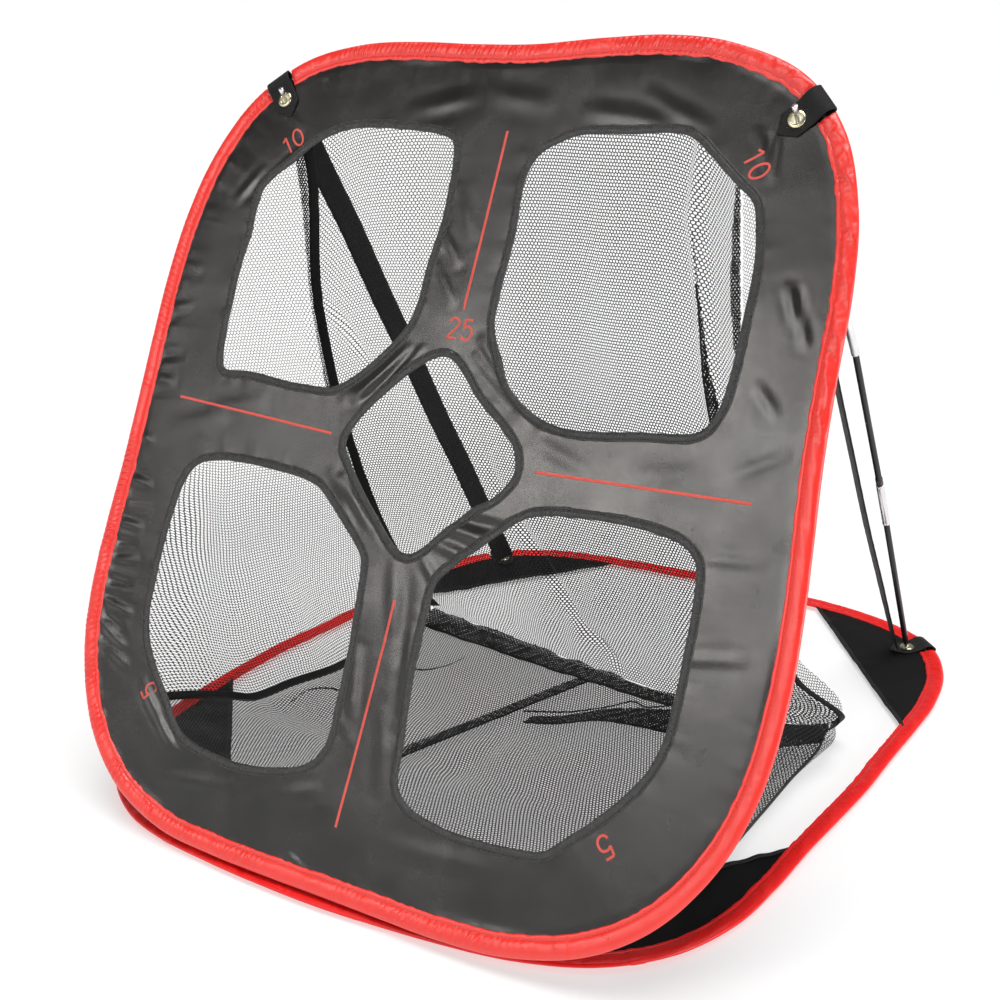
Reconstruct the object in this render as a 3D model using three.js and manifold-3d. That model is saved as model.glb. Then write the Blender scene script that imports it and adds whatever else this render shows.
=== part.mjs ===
import * as THREE from 'three';
import { mergeVertices } from 'three/addons/utils/BufferGeometryUtils.js';
import Module from 'manifold-3d';

// Golf chipping net: a leaning target panel and a ground hoop joined along the
// front seam, a net bag behind the panel, and two sectional poles that hold the
// panel up. Millimetres. X is left to right, Y is front to rear, Z is up.
// The panel is drawn flat in its own plane (u, v, w) and tilted about the seam.

// ---------------------------------------------------------------- dimensions
const TILT = 59.73;            // panel angle above the ground, degrees
const BASE_Z = 5;              // height of the ground hoop's centre line
const SEAM_Z = 19.6;           // height of the panel hoop's lower edge
const SLEEVE_W = 16;           // sleeve width in the plane of its hoop
const SLEEVE_T = 10;           // sleeve thickness
const WIRE_R = 1.6;            // spring steel hoop wire, 3.2 mm
const FABRIC_T = 1.2;          // target panel cloth
const GUSSET_T = 1.0;          // ground hoop corner cloth
const BIND_W = 7;              // bias binding width round each opening
const BIND_T = 3.2;            // bias binding thickness over both faces
const TAB_W = 25;              // webbing tab width along the hoop
const TAB_REACH = 34;          // webbing tab length inboard of the wire
const WEB_T = 1.0;             // webbing thickness
const GROMMET_R = 4.2;         // grommet hole radius
const GROMMET_OD = 15;         // grommet flange diameter
const GRX = 262.5;             // grommets sit this far left and right of centre
const GRV = 685;               // panel grommets above the seam, along the panel
const GRY = 678;               // ground grommets behind the seam
const ROD_R = 3;               // fibreglass rod, 6 mm
const FERRULE_R = 4;           // steel ferrule, 8 mm outside
const PIN_R = 2;               // steel tip pin, 4 mm
const PIVOT_S = 11;            // tip swivel centre, from the grommet along the pole
const S_F1 = [210, 268];       // lower ferrule span along the pole
const S_F2 = [441, 499];       // upper ferrule span along the pole
const BOW = [0, 7.2, 9.0];     // outward bow of the pole at its joints
const NET_T = 0.9;             // net cloth allowance
const STATIONS = 72;           // stations round each hoop

// Hoop centre lines, from the bottom or front centre, going to the right
const PANEL_HOOP = [[0, 0], [62.8, 0.9], [125.5, 1.5], [187.9, 8.1], [247.4, 27.6], [297.9, 64.3],
  [332.8, 116.1], [350.6, 176.2], [355.2, 238.7], [351.8, 301.3], [344.8, 363.7], [337.7, 426.1],
  [333.8, 488.7], [330.5, 551.4], [320.5, 614.0], [297.0, 672.5], [252.5, 717.5], [193.0, 740.0],
  [130.2, 746.0], [67.6, 742.6], [5.1, 737.0], [-57.7, 735.6], [-120.4, 736.8], [-183.5, 733.5],
  [-245.5, 716.5], [-295.5, 678.5], [-326.5, 623.5], [-341.1, 562.0], [-345.2, 499.4], [-343.9, 436.7],
  [-341.1, 374.0], [-339.3, 311.2], [-339.0, 248.4], [-335.6, 185.8], [-322.0, 124.6], [-292.3, 69.6],
  [-245.5, 28.2], [-187.6, 6.0], [-125.5, 0.8], [-62.7, 0.2]];
const BASE_HOOP = [[0, -0.9], [61.2, 2.7], [122.1, 9.5], [182.2, 21.3], [238.3, 45.3], [282.1, 87.6],
  [305.9, 143.7], [313.3, 204.4], [314.6, 265.7], [318.5, 326.9], [322.0, 388.0], [321.7, 449.3],
  [322.4, 510.6], [321.1, 571.9], [309.5, 632.5], [279.5, 686.0], [227.5, 719.5], [167.1, 735.0],
  [106.2, 741.4], [45.0, 745.0], [-16.2, 745.7], [-62.0, 744.4], [-108.0, 741.4], [-167.1, 735.0],
  [-227.5, 719.5], [-279.5, 686.0], [-309.5, 632.5], [-321.4, 571.9], [-326.8, 510.0], [-332.5, 460.0],
  [-338.3, 410.7], [-347.6, 350.1], [-350.1, 288.9], [-349.3, 227.6], [-344.2, 166.6], [-327.7, 107.7],
  [-293.3, 57.5], [-242.4, 24.0], [-183.5, 7.6], [-122.5, 1.4], [-61.3, -0.9]];

// Target openings in the panel, edge of the clear hole
const OPENINGS = {
  binding_upper_left: [[-174.5, 659.4], [-116.2, 661.8], [-60.7, 654.8], [-55.3, 647.5], [-48.0, 586.6],
    [-51.0, 542.0], [-53.3, 492.0], [-65.7, 467.7], [-114.2, 421.0], [-151.1, 416.2], [-220.1, 419.9],
    [-251.6, 419.9], [-258.6, 436.7], [-263.4, 480.7], [-264.9, 515.3], [-262.8, 550.4], [-264.0, 580.3],
    [-259.9, 598.6], [-232.5, 625.1], [-208.7, 646.2]],
  binding_upper_right: [[36.9, 647.4], [48.8, 655.2], [66.4, 663.2], [114.7, 667.0], [172.0, 667.8],
    [196.9, 651.1], [224.4, 629.1], [241.6, 615.3], [249.7, 592.8], [255.8, 558.2], [256.7, 516.8],
    [256.8, 475.6], [253.1, 446.2], [242.8, 429.4], [192.1, 421.2], [129.1, 414.5], [96.8, 420.1],
    [62.8, 442.3], [45.3, 468.1], [33.2, 492.3], [30.7, 525.9], [31.0, 571.5], [27.9, 628.9]],
  binding_centre: [[-8.9, 458.9], [36.5, 424.7], [69.5, 401.5], [82.1, 388.7], [87.5, 369.9],
    [73.2, 346.9], [57.2, 336.5], [35.1, 314.4], [2.9, 285.9], [-39.0, 313.7], [-77.4, 351.6],
    [-90.5, 371.6], [-63.5, 417.5]],
  binding_lower_left: [[-252.9, 324.0], [-229.2, 332.5], [-167.0, 334.2], [-109.4, 327.2], [-84.6, 310.3],
    [-54.5, 285.9], [-42.9, 273.7], [-37.3, 245.4], [-32.7, 199.6], [-31.0, 152.6], [-31.5, 109.6],
    [-45.8, 92.0], [-79.1, 80.0], [-113.3, 74.7], [-156.9, 76.2], [-190.5, 84.4], [-215.5, 109.1],
    [-253.7, 151.5], [-264.6, 177.9], [-268.4, 221.4], [-268.4, 268.9], [-263.0, 308.7]],
  binding_lower_right: [[102.6, 330.7], [115.1, 338.0], [161.5, 344.5], [221.2, 344.5], [249.6, 339.2],
    [264.5, 327.8], [270.0, 303.0], [272.4, 267.5], [273.5, 220.4], [272.7, 190.9], [264.6, 163.4],
    [242.8, 131.2], [218.1, 105.0], [195.7, 84.5], [178.5, 80.4], [148.3, 77.4], [103.8, 77.1],
    [65.1, 85.4], [50.9, 98.4], [47.1, 127.7], [40.8, 182.2], [38.3, 234.8], [39.8, 267.7],
    [56.2, 288.1], [82.2, 312.6]]
};

// ---------------------------------------------------------------- materials
const mat = (color, roughness, metalness = 0) => new THREE.MeshStandardMaterial({ color, roughness, metalness });
const red = () => mat(0xd8241f, 0.6);
const blackCloth = () => mat(0x2b2a28, 0.7);
const webbing = () => mat(0x141414, 0.8);
const steel = () => mat(0xb9bcc0, 0.25, 1);
const brass = () => mat(0xcfc089, 0.3, 1);
const rodBlack = () => mat(0x121212, 0.35);
const mesh = () => mat(0x1a1a1a, 0.85);

// ---------------------------------------------------------------- helpers
const V2 = (x, y) => new THREE.Vector2(x, y);
const V3 = (x, y, z) => new THREE.Vector3(x, y, z);

// A path that passes exactly through its stations, with mitred tangents
class StationPath extends THREE.Curve {
  constructor(points, before = null, after = null) {
    super();
    this.points = points;
    this.before = before;
    this.after = after;
  }
  getPoint(t, target = new THREE.Vector3()) {
    const f = Math.min(Math.max(t, 0), 1) * (this.points.length - 1);
    const i = Math.min(Math.floor(f + 1e-9), this.points.length - 2);
    return target.copy(this.points[i]).lerp(this.points[i + 1], f - i);
  }
  getPointAt(u, target) { return this.getPoint(u, target); }
  getTangent(t, target = new THREE.Vector3()) {
    const n = this.points.length;
    const i = Math.round(Math.min(Math.max(t, 0), 1) * (n - 1));
    const a = i > 0 ? this.points[i - 1] : (this.before ?? this.points[0]);
    const b = i < n - 1 ? this.points[i + 1] : (this.after ?? this.points[n - 1]);
    const p = this.points[i];
    const d1 = p.clone().sub(a), d2 = b.clone().sub(p);
    if (d1.lengthSq() > 0) d1.normalize();
    if (d2.lengthSq() > 0) d2.normalize();
    return target.copy(d1).add(d2).normalize();
  }
  getTangentAt(u, target) { return this.getTangent(u, target); }
}

const sweep = (points, shape, before, after) => new THREE.ExtrudeGeometry(shape, {
  steps: points.length - 1, bevelEnabled: false, extrudePath: new StationPath(points, before, after)
});

const closedCurve = (pts) => new THREE.CatmullRomCurve3(pts.map(([x, y]) => V3(x, y, 0)), true, 'centripetal');

// Stations round a closed curve between two arc fractions, with outside neighbours
const arc = (curve, a, b, n) => {
  const f = (k) => curve.getPointAt((((a + (b - a) * k / n) % 1) + 1) % 1);
  const pts = [];
  for (let k = 0; k <= n; k++) pts.push(f(k));
  return [pts, f(-1), f(n + 1)];
};

// Offset a closed loop of stations; positive goes inward on a counter-clockwise loop
const offsetLoop = (pts, d) => pts.map((p, i) => {
  const a = pts[(i - 1 + pts.length) % pts.length], b = pts[(i + 1) % pts.length];
  const t1 = p.clone().sub(a).normalize(), t2 = b.clone().sub(p).normalize();
  const t = t1.add(t2).normalize();
  return V3(p.x - t.y * d, p.y + t.x * d, p.z);
});

const ccw = (pts) => (THREE.ShapeUtils.area(pts.map((p) => V2(p.x, p.y))) > 0 ? pts : pts.slice().reverse());

const shapeOf = (pts) => new THREE.Shape(pts.map((p) => V2(p.x, p.y)));
const pathOf = (pts) => new THREE.Path(pts.map((p) => V2(p.x, p.y)));

const plate = (outline, holes, t) => {
  const s = shapeOf(outline);
  for (const h of holes) s.holes.push(pathOf(h));
  const g = new THREE.ExtrudeGeometry(s, { depth: t, bevelEnabled: false, curveSegments: 12 });
  g.translate(0, 0, -t / 2);
  return g;
};

const circlePts = (x, y, r, n = 16) => Array.from({ length: n }, (_, i) =>
  V3(x + r * Math.cos(-2 * Math.PI * i / n), y + r * Math.sin(-2 * Math.PI * i / n), 0));

// Boolean cut
const wasm = await Module();
wasm.setup();
const toManifold = (g) => {
  const c = g.clone();
  c.deleteAttribute('normal');
  c.deleteAttribute('uv');
  const m = mergeVertices(c, 1e-4);
  return new wasm.Manifold(new wasm.Mesh({
    numProp: 3,
    vertProperties: new Float32Array(m.attributes.position.array),
    triVerts: new Uint32Array(m.index.array)
  }));
};
const fromManifold = (mf) => {
  const m = mf.getMesh();
  const g = new THREE.BufferGeometry();
  g.setAttribute('position', new THREE.BufferAttribute(new Float32Array(m.vertProperties), 3));
  g.setIndex(new THREE.BufferAttribute(new Uint32Array(m.triVerts), 1));
  g.computeVertexNormals();
  return g;
};
const cut = (a, b) => fromManifold(toManifold(a).subtract(toManifold(b)));

// A thin closed sheet over a grid of points, thickened along its normals
const sheet = (grid, t) => {
  const n = grid.length, m = grid[0].length;
  const at = (i, j) => grid[Math.min(Math.max(i, 0), n - 1)][Math.min(Math.max(j, 0), m - 1)];
  const pos = [];
  for (const side of [0.5, -0.5]) {
    for (let i = 0; i < n; i++) for (let j = 0; j < m; j++) {
      const du = at(i + 1, j).clone().sub(at(i - 1, j));
      const dv = at(i, j + 1).clone().sub(at(i, j - 1));
      const nn = du.cross(dv).normalize().multiplyScalar(side * t);
      const p = at(i, j).clone().add(nn);
      pos.push(p.x, p.y, p.z);
    }
  }
  const id = (s, i, j) => s * n * m + i * m + j;
  const idx = [];
  const quad = (a, b, c, d) => idx.push(a, b, c, a, c, d);
  for (let i = 0; i < n - 1; i++) for (let j = 0; j < m - 1; j++) {
    quad(id(0, i, j), id(0, i + 1, j), id(0, i + 1, j + 1), id(0, i, j + 1));
    quad(id(1, i, j), id(1, i, j + 1), id(1, i + 1, j + 1), id(1, i + 1, j));
  }
  for (let i = 0; i < n - 1; i++) {
    quad(id(1, i, 0), id(1, i + 1, 0), id(0, i + 1, 0), id(0, i, 0));
    quad(id(0, i, m - 1), id(0, i + 1, m - 1), id(1, i + 1, m - 1), id(1, i, m - 1));
  }
  for (let j = 0; j < m - 1; j++) {
    quad(id(0, 0, j), id(0, 0, j + 1), id(1, 0, j + 1), id(1, 0, j));
    quad(id(1, n - 1, j), id(1, n - 1, j + 1), id(0, n - 1, j + 1), id(0, n - 1, j));
  }
  const g = new THREE.BufferGeometry();
  g.setAttribute('position', new THREE.Float32BufferAttribute(pos, 3));
  g.setIndex(idx);
  g.computeVertexNormals();
  return g;
};

const make = (name, geometry, material, parent) => {
  const o = new THREE.Mesh(geometry, material);
  o.name = name;
  parent.add(o);
  return o;
};

// ---------------------------------------------------------------- groups
const root = new THREE.Group();
const ground = new THREE.Group();
ground.position.set(0, 0, BASE_Z);
root.add(ground);
const panel = new THREE.Group();
panel.position.set(0, 0, SEAM_Z);
panel.rotation.x = THREE.MathUtils.degToRad(TILT);
root.add(panel);

// ---------------------------------------------------------------- hoops
const ring = (outer, inner) => {
  const s = new THREE.Shape(outer.map(([x, y]) => V2(x, y)));
  if (inner) s.holes.push(new THREE.Path(inner.map(([x, y]) => V2(x, y)).reverse()));
  return s;
};
const hx = SLEEVE_T / 2, hy = SLEEVE_W / 2;
const sleeveShape = () => ring(
  [[hx, -4], [hx, 4], [3.2, hy], [-3.2, hy], [-hx, 4], [-hx, -4], [-3.2, -hy], [3.2, -hy]],
  [[hx - 0.9, -3.6], [hx - 0.9, 3.6], [2.6, hy - 1], [-2.6, hy - 1], [0.9 - hx, 3.6], [0.9 - hx, -3.6], [-2.6, 1 - hy], [2.6, 1 - hy]]);
const polygon = (r, n) => Array.from({ length: n }, (_, i) => [r * Math.cos(2 * Math.PI * i / n), r * Math.sin(2 * Math.PI * i / n)]);

const buildHoop = (parent, prefix, pts, grommet, jointAt) => {
  const curve = closedCurve(pts);
  curve.arcLengthDivisions = 800;
  const total = curve.getLength();
  // arc fraction nearest to a point
  const near = (x, y) => {
    let best = 0, bd = 1e9;
    for (let i = 0; i < 4000; i++) {
      const p = curve.getPointAt(i / 4000);
      const d = Math.hypot(p.x - x, p.y - y);
      if (d < bd) { bd = d; best = i / 4000; }
    }
    return best;
  };
  const uR = near(grommet[0], grommet[1]), uL = near(-grommet[0], grommet[1]);
  const half = (TAB_W / 2 + 2) / total;
  // the long sleeve runs from the left tab round the seam side to the right tab
  const nLong = Math.round(STATIONS * (1 - (uL - uR)));
  const nShort = STATIONS - nLong;
  const long = arc(curve, uL - 1 + half, uR - half, nLong);
  const short = arc(curve, uR + half, uL - half, nShort);
  make(prefix[1], sweep(long[0], sleeveShape(), long[1], long[2]), red(), parent);
  make(prefix[2], sweep(short[0], sleeveShape(), short[1], short[2]), red(), parent);
  // wire: one length whose ends meet inside the crimp
  const gap = 0.5 / total;
  const w = arc(curve, jointAt + gap, jointAt + 1 - gap, STATIONS);
  make(prefix[0], sweep(w[0], ring(polygon(WIRE_R, 6))), steel(), parent);
  const c = arc(curve, jointAt - 14 / total, jointAt + 14 / total, 4);
  make(prefix[3], sweep(c[0], ring(polygon(3.1, 10), polygon(2.2, 8))), steel(), parent);
  return { curve, total, uR, uL };
};

const panelHoop = buildHoop(panel, ['panel_hoop_wire', 'panel_sleeve_lower', 'panel_sleeve_top', 'panel_wire_crimp'], PANEL_HOOP, [GRX, GRV], 0.31);
const baseHoop = buildHoop(ground, ['base_hoop_wire', 'base_sleeve_front', 'base_sleeve_rear', 'base_wire_crimp'], BASE_HOOP, [GRX, GRY], 0.5);

const hoopLoop = (curve) => {
  const pts = [];
  for (let i = 0; i < 144; i++) pts.push(curve.getPointAt(i / 144));
  return ccw(pts);
};

// ---------------------------------------------------------------- panel cloth
const panelLoop = hoopLoop(panelHoop.curve);
const panelOutline = offsetLoop(panelLoop, SLEEVE_W / 2 + 1.8);
const openingLoops = {};
for (const [name, pts] of Object.entries(OPENINGS)) {
  const c = closedCurve(pts);
  c.arcLengthDivisions = 600;
  const n = name === 'binding_centre' ? 28 : 34;
  const loop = [];
  for (let i = 0; i < n; i++) loop.push(c.getPointAt(i / n));
  openingLoops[name] = ccw(loop);
}
const clothHoles = Object.values(openingLoops).map((l) => offsetLoop(l, -1.4));
clothHoles.push(circlePts(GRX, GRV, 4.9), circlePts(-GRX, GRV, 4.9));
make('panel_cloth', plate(panelOutline, clothHoles, FABRIC_T), blackCloth(), panel);

// bias binding: a U section folded over each opening's edge, ends meeting at a join
const bx = BIND_T / 2, by = BIND_W / 2;
const bindingShape = () => ring([[bx, -by], [bx, by], [-bx, by], [-bx, -by], [-bx + 0.6, -by], [-bx + 0.6, by - 0.7], [bx - 0.6, by - 0.7], [bx - 0.6, -by]]);
for (const [name, loop] of Object.entries(openingLoops)) {
  const centre = offsetLoop(loop, -by);
  const n = centre.length;
  const j = 0;
  const pts = [];
  for (let k = 0; k <= n; k++) pts.push(centre[(j + k) % n].clone());
  // the tape's two ends stop 0.3 mm short of the join
  const d0 = pts[1].clone().sub(pts[0]).normalize(), d1 = pts[n - 1].clone().sub(pts[n]).normalize();
  pts[0].addScaledVector(d0, 1.2);
  pts[n].addScaledVector(d1, 1.2);
  make(name, sweep(pts, bindingShape()), webbing(), panel);
}

// ---------------------------------------------------------------- tabs and grommets
const tabProfile = () => {
  const a = FABRIC_T / 2 + 0.3, b = a + WEB_T;
  return ring([
    [TAB_REACH, b], [4, b], [0, 3.9], [-3.4, 2.9], [-4.6, 0], [-3.4, -2.9], [0, -3.9], [4, -b], [TAB_REACH, -b],
    [TAB_REACH, -a], [4, -a], [0, -2.7], [-2.4, -1.9], [-3.3, 0], [-2.4, 1.9], [0, 2.7], [4, a], [TAB_REACH, a]
  ].reverse());
};
const grommetShape = [[GROMMET_R, -2.9], [GROMMET_OD / 2 - 0.5, -2.9], [GROMMET_OD / 2, -2.2], [GROMMET_R + 0.4, -2.2],
  [GROMMET_R + 0.4, 2.2], [GROMMET_OD / 2, 2.2], [GROMMET_OD / 2 - 0.5, 2.9], [GROMMET_R, 2.9], [GROMMET_R, -2.9]];
const tabAndGrommet = (parent, hoop, x, y, u, tabName, grommetName) => {
  const o = hoop.curve.getPointAt(u);
  const inward = V3(x - o.x, y - o.y, 0).normalize();
  const tangent = V3(-inward.y, inward.x, 0);
  // profile X runs inboard, profile Y along the normal, extruded along the hoop
  const g = new THREE.ExtrudeGeometry(tabProfile(), { depth: TAB_W, bevelEnabled: false });
  g.translate(0, 0, -TAB_W / 2);
  const up = V3(0, 0, 1);
  const m = new THREE.Matrix4().makeBasis(inward, up, inward.clone().cross(up));
  m.setPosition(o);
  g.applyMatrix4(m);
  const hole = new THREE.CylinderGeometry(GROMMET_R + 0.7, GROMMET_R + 0.7, 12, 16);
  hole.rotateX(Math.PI / 2);
  hole.translate(x, y, 0);
  make(tabName, cut(g, hole), webbing(), parent);
  const gr = new THREE.LatheGeometry(grommetShape.map(([r, z]) => V2(r, z)), 18);
  gr.rotateX(Math.PI / 2);
  gr.translate(x, y, 0);
  make(grommetName, gr, brass(), parent);
  return tangent;
};
tabAndGrommet(panel, panelHoop, GRX, GRV, panelHoop.uR, 'panel_tab_right', 'panel_grommet_right');
tabAndGrommet(panel, panelHoop, -GRX, GRV, panelHoop.uL, 'panel_tab_left', 'panel_grommet_left');
tabAndGrommet(ground, baseHoop, GRX, GRY, baseHoop.uR, 'base_tab_right', 'base_grommet_right');
tabAndGrommet(ground, baseHoop, -GRX, GRY, baseHoop.uL, 'base_tab_left', 'base_grommet_left');

// ---------------------------------------------------------------- ground hoop cloth
// four corner gussets between the sleeve and a straight bound inner edge
const baseLoop = hoopLoop(baseHoop.curve);
const baseInner = offsetLoop(baseLoop, SLEEVE_W / 2 + 1.8);
const clip = (loop, ax, ay, bx2, by2) => {
  // keep the part of the loop to the left of the line a to b
  const side = (p) => (bx2 - ax) * (p.y - ay) - (by2 - ay) * (p.x - ax);
  const out = [];
  for (let i = 0; i < loop.length; i++) {
    const p = loop[i], q = loop[(i + 1) % loop.length];
    const sp = side(p), sq = side(q);
    if (sp >= 0) out.push(p);
    if ((sp < 0 && sq > 0) || (sp > 0 && sq < 0)) out.push(p.clone().lerp(q, sp / (sp - sq)));
  }
  return out;
};
const gusset = (name, a, b, hole) => {
  const pts = ccw(clip(baseInner, a[0], a[1], b[0], b[1]));
  make(name, plate(pts, hole ? [circlePts(hole[0], hole[1], 4.9)] : [], GUSSET_T), blackCloth(), ground);
};
gusset('base_gusset_rear_right', [110, 762], [330, 496], [GRX, GRY]);
gusset('base_gusset_rear_left', [-330, 496], [-110, 762], [-GRX, GRY]);
gusset('base_gusset_front_right', [326, 288], [104, -4]);
gusset('base_gusset_front_left', [-104, -4], [-330, 250]);

// the tape that joins the two sleeves along the front
make('front_seam_tape', new THREE.BoxGeometry(360, 5, 0.5), webbing(), root).position.set(0, 0, 10.55);

// ---------------------------------------------------------------- poles and straps
const tilt = THREE.MathUtils.degToRad(TILT);
const E2 = V3(0, Math.cos(tilt), Math.sin(tilt));
const NB = V3(0, Math.sin(tilt), -Math.cos(tilt));
const A = (sx) => V3(sx * GRX, GRY, BASE_Z);
const B = (sx) => V3(sx * GRX, 0, SEAM_Z).addScaledVector(E2, GRV);
const poleDir = B(1).sub(A(1)).normalize();
const poleLen = B(1).distanceTo(A(1));
const rearUp = V3(0, poleDir.z, -poleDir.y);
const bowAt = (s) => {
  const p = [[0, BOW[0]], [S_F1[1], BOW[1]], [S_F2[0], BOW[2]], [poleLen, BOW[0]]];
  for (let i = 0; i < 3; i++) if (s <= p[i + 1][0]) return p[i][1] + (p[i + 1][1] - p[i][1]) * (s - p[i][0]) / (p[i + 1][0] - p[i][0]);
  return 0;
};
const at = (sx, s) => A(sx).addScaledVector(poleDir, s).add(V3(sx * bowAt(s), 0, 0));

// revolve a profile given as [radius, distance] and set it between two points
const revolve = (profile, from, to, n) => {
  const g = new THREE.LatheGeometry(profile.map(([r, z]) => V2(r, z)), n);
  const q = new THREE.Quaternion().setFromUnitVectors(V3(0, 1, 0), to.clone().sub(from).normalize());
  g.applyQuaternion(q);
  g.translate(from.x, from.y, from.z);
  return g;
};
const ballEnd = (r) => [[0, -r], [r * 0.5, -r * 0.866], [r * 0.866, -r * 0.5], [r, 0]];
for (const [side, sx] of [['right', 1], ['left', -1]]) {
  // lower section: ball end at the ground swivel, ferrule at the top
  const q0 = at(sx, PIVOT_S), p1 = at(sx, S_F1[1]);
  const l1 = q0.distanceTo(p1), k1 = l1 - (S_F1[1] - S_F1[0]);
  make(`pole_lower_rod_${side}`, revolve([...ballEnd(ROD_R), [ROD_R, k1 + 29], [0, k1 + 29]], q0, p1, 12), rodBlack(), root);
  make(`pole_lower_ferrule_${side}`, revolve([[ROD_R + 0.3, k1], [FERRULE_R, k1], [FERRULE_R, l1], [ROD_R + 0.3, l1], [ROD_R + 0.3, k1]], q0, p1, 12), steel(), root);
  // middle section
  const m0 = at(sx, S_F1[1] + 0.6), m1 = at(sx, S_F2[0] - 0.6);
  make(`pole_middle_rod_${side}`, revolve([[0, 0], [ROD_R, 0], [ROD_R, m0.distanceTo(m1)], [0, m0.distanceTo(m1)]], m0, m1, 12), rodBlack(), root);
  // upper section: ball end at the panel swivel, ferrule at its lower end
  const q1 = at(sx, poleLen - PIVOT_S), p2 = at(sx, S_F2[0]);
  const l3 = q1.distanceTo(p2), k3 = l3 - (S_F2[1] - S_F2[0]);
  make(`pole_upper_rod_${side}`, revolve([...ballEnd(ROD_R), [ROD_R, k3 + 29], [0, k3 + 29]], q1, p2, 12), rodBlack(), root);
  make(`pole_upper_ferrule_${side}`, revolve([[ROD_R + 0.3, k3], [FERRULE_R, k3], [FERRULE_R, l3], [ROD_R + 0.3, l3], [ROD_R + 0.3, k3]], q1, p2, 12), steel(), root);
  // tip pins that stay in the grommets
  const upPin = [[0, -14], [2.4, -14], [2.7, -13], [2.7, -11.6], [PIN_R, -11], [PIN_R, 5.2], [2.9, 5.7], [2.9, 6.8], [1.6, 7.5], [0, 7.5]];
  const downPin = [[0, -4.2], [PIN_R, -4.2], [PIN_R, 5.2], [2.9, 5.7], [2.9, 6.8], [1.6, 7.5], [0, 7.5]];
  make(`pole_top_pin_${side}`, revolve(upPin, B(sx), B(sx).addScaledVector(poleDir, -10), 12), steel(), root);
  make(`pole_foot_pin_${side}`, revolve(downPin, A(sx), A(sx).addScaledVector(poleDir, 10), 12), steel(), root);
  // webbing strap beside the pole, from corner to corner
  const s0 = 22, s1 = poleLen - 22;
  const g = new THREE.BoxGeometry(TAB_W, 1.2, s1 - s0);
  const wide = V3(-sx * 0.5, 0, 0).addScaledVector(rearUp, 0.866).normalize();
  const thin = poleDir.clone().cross(wide);
  const m = new THREE.Matrix4().makeBasis(wide, thin, poleDir);
  m.setPosition(A(sx).addScaledVector(poleDir, (s0 + s1) / 2).add(V3(-sx * 10, 0, 0)).addScaledVector(rearUp, -5));
  g.applyMatrix4(m);
  make(`strap_${side}`, g, webbing(), root);
}

// ---------------------------------------------------------------- net bag
const onPanel = (u, v, w) => V3(u, 0, SEAM_Z).addScaledVector(E2, v).addScaledVector(NB, -w);
const bez = (p0, p1, p2, p3, t) => {
  const a = (1 - t) ** 3, b = 3 * (1 - t) ** 2 * t, c = 3 * (1 - t) * t * t, d = t ** 3;
  return p0.clone().multiplyScalar(a).addScaledVector(p1, b).addScaledVector(p2, c).addScaledVector(p3, d);
};
// rear edge of the bag on the ground, left to right
const HEM = new THREE.CatmullRomCurve3([V3(-246, 505, 12.5), V3(-110, 480, 12.5), V3(0, 462, 12.5), V3(100, 449, 12.5),
  V3(190, 446, 12.5), V3(240, 462, 12.5)], false, 'centripetal');
const TOP = new THREE.CatmullRomCurve3([onPanel(-238, 668, -8), onPanel(-190, 702, -7), onPanel(-60, 716, -7), onPanel(60, 720, -7),
  onPanel(180, 712, -7), onPanel(238, 668, -8)], false, 'centripetal');
const backAt = (a, t) => {
  const p0 = TOP.getPointAt(a), p3 = HEM.getPointAt(a);
  const p1 = V3(p0.x * 0.99, p0.y + 2, p0.z - 150);
  const p2 = V3(p3.x * 1.0, p0.y + 6, 175);
  return bez(p0, p1, p2, p3, t);
};
const gridOf = (n, m, f) => Array.from({ length: n + 1 }, (_, i) => Array.from({ length: m + 1 }, (_, j) => f(i / n, j / m)));
make('back_net', sheet(gridOf(12, 12, (a, t) => backAt(a, t)), NET_T), mesh(), root);

const sideNet = (name, sx) => {
  const edge = new THREE.CatmullRomCurve3(sx > 0
    ? [onPanel(285, 628, -7), onPanel(312, 560, -7), onPanel(322, 420, -7), onPanel(334, 250, -7), onPanel(316, 130, -7), onPanel(288, 84, -8)]
    : [onPanel(-288, 628, -7), onPanel(-320, 560, -7), onPanel(-324, 420, -7), onPanel(-319, 250, -7), onPanel(-306, 140, -7), onPanel(-280, 88, -8)], false, 'centripetal');
  const f = (a, t) => {
    const s = backAt(sx > 0 ? 1 : 0, 0.05 + 0.93 * t);
    s.x += sx * 1.6;
    const e = edge.getPointAt(t);
    const p = s.clone().lerp(e, a);
    p.x += sx * 30 * Math.sin(Math.PI * a) * t * t;
    p.z += 4 * t * t * Math.sin(Math.PI * a);
    return p;
  };
  make(name, sheet(gridOf(6, 10, f), NET_T), mesh(), root);
};
sideNet('side_net_right', 1);
sideNet('side_net_left', -1);

// corner seam tapes along the rear corners of the bag
for (const [side, sx] of [['right', 1], ['left', -1]]) {
  const f = (a, t) => {
    const k = sx > 0 ? 0.985 - 0.02 * a : 0.015 + 0.02 * a, r = 0.04 + 0.92 * t;
    const du = backAt(k + 0.01, r).sub(backAt(k - 0.01, r)), dv = backAt(k, r + 0.01).sub(backAt(k, r - 0.01));
    return backAt(k, r).addScaledVector(du.cross(dv).normalize(), -1.7);
  };
  make(`corner_seam_tape_${side}`, sheet(gridOf(1, 12, f), 0.8), webbing(), root);
}

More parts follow.
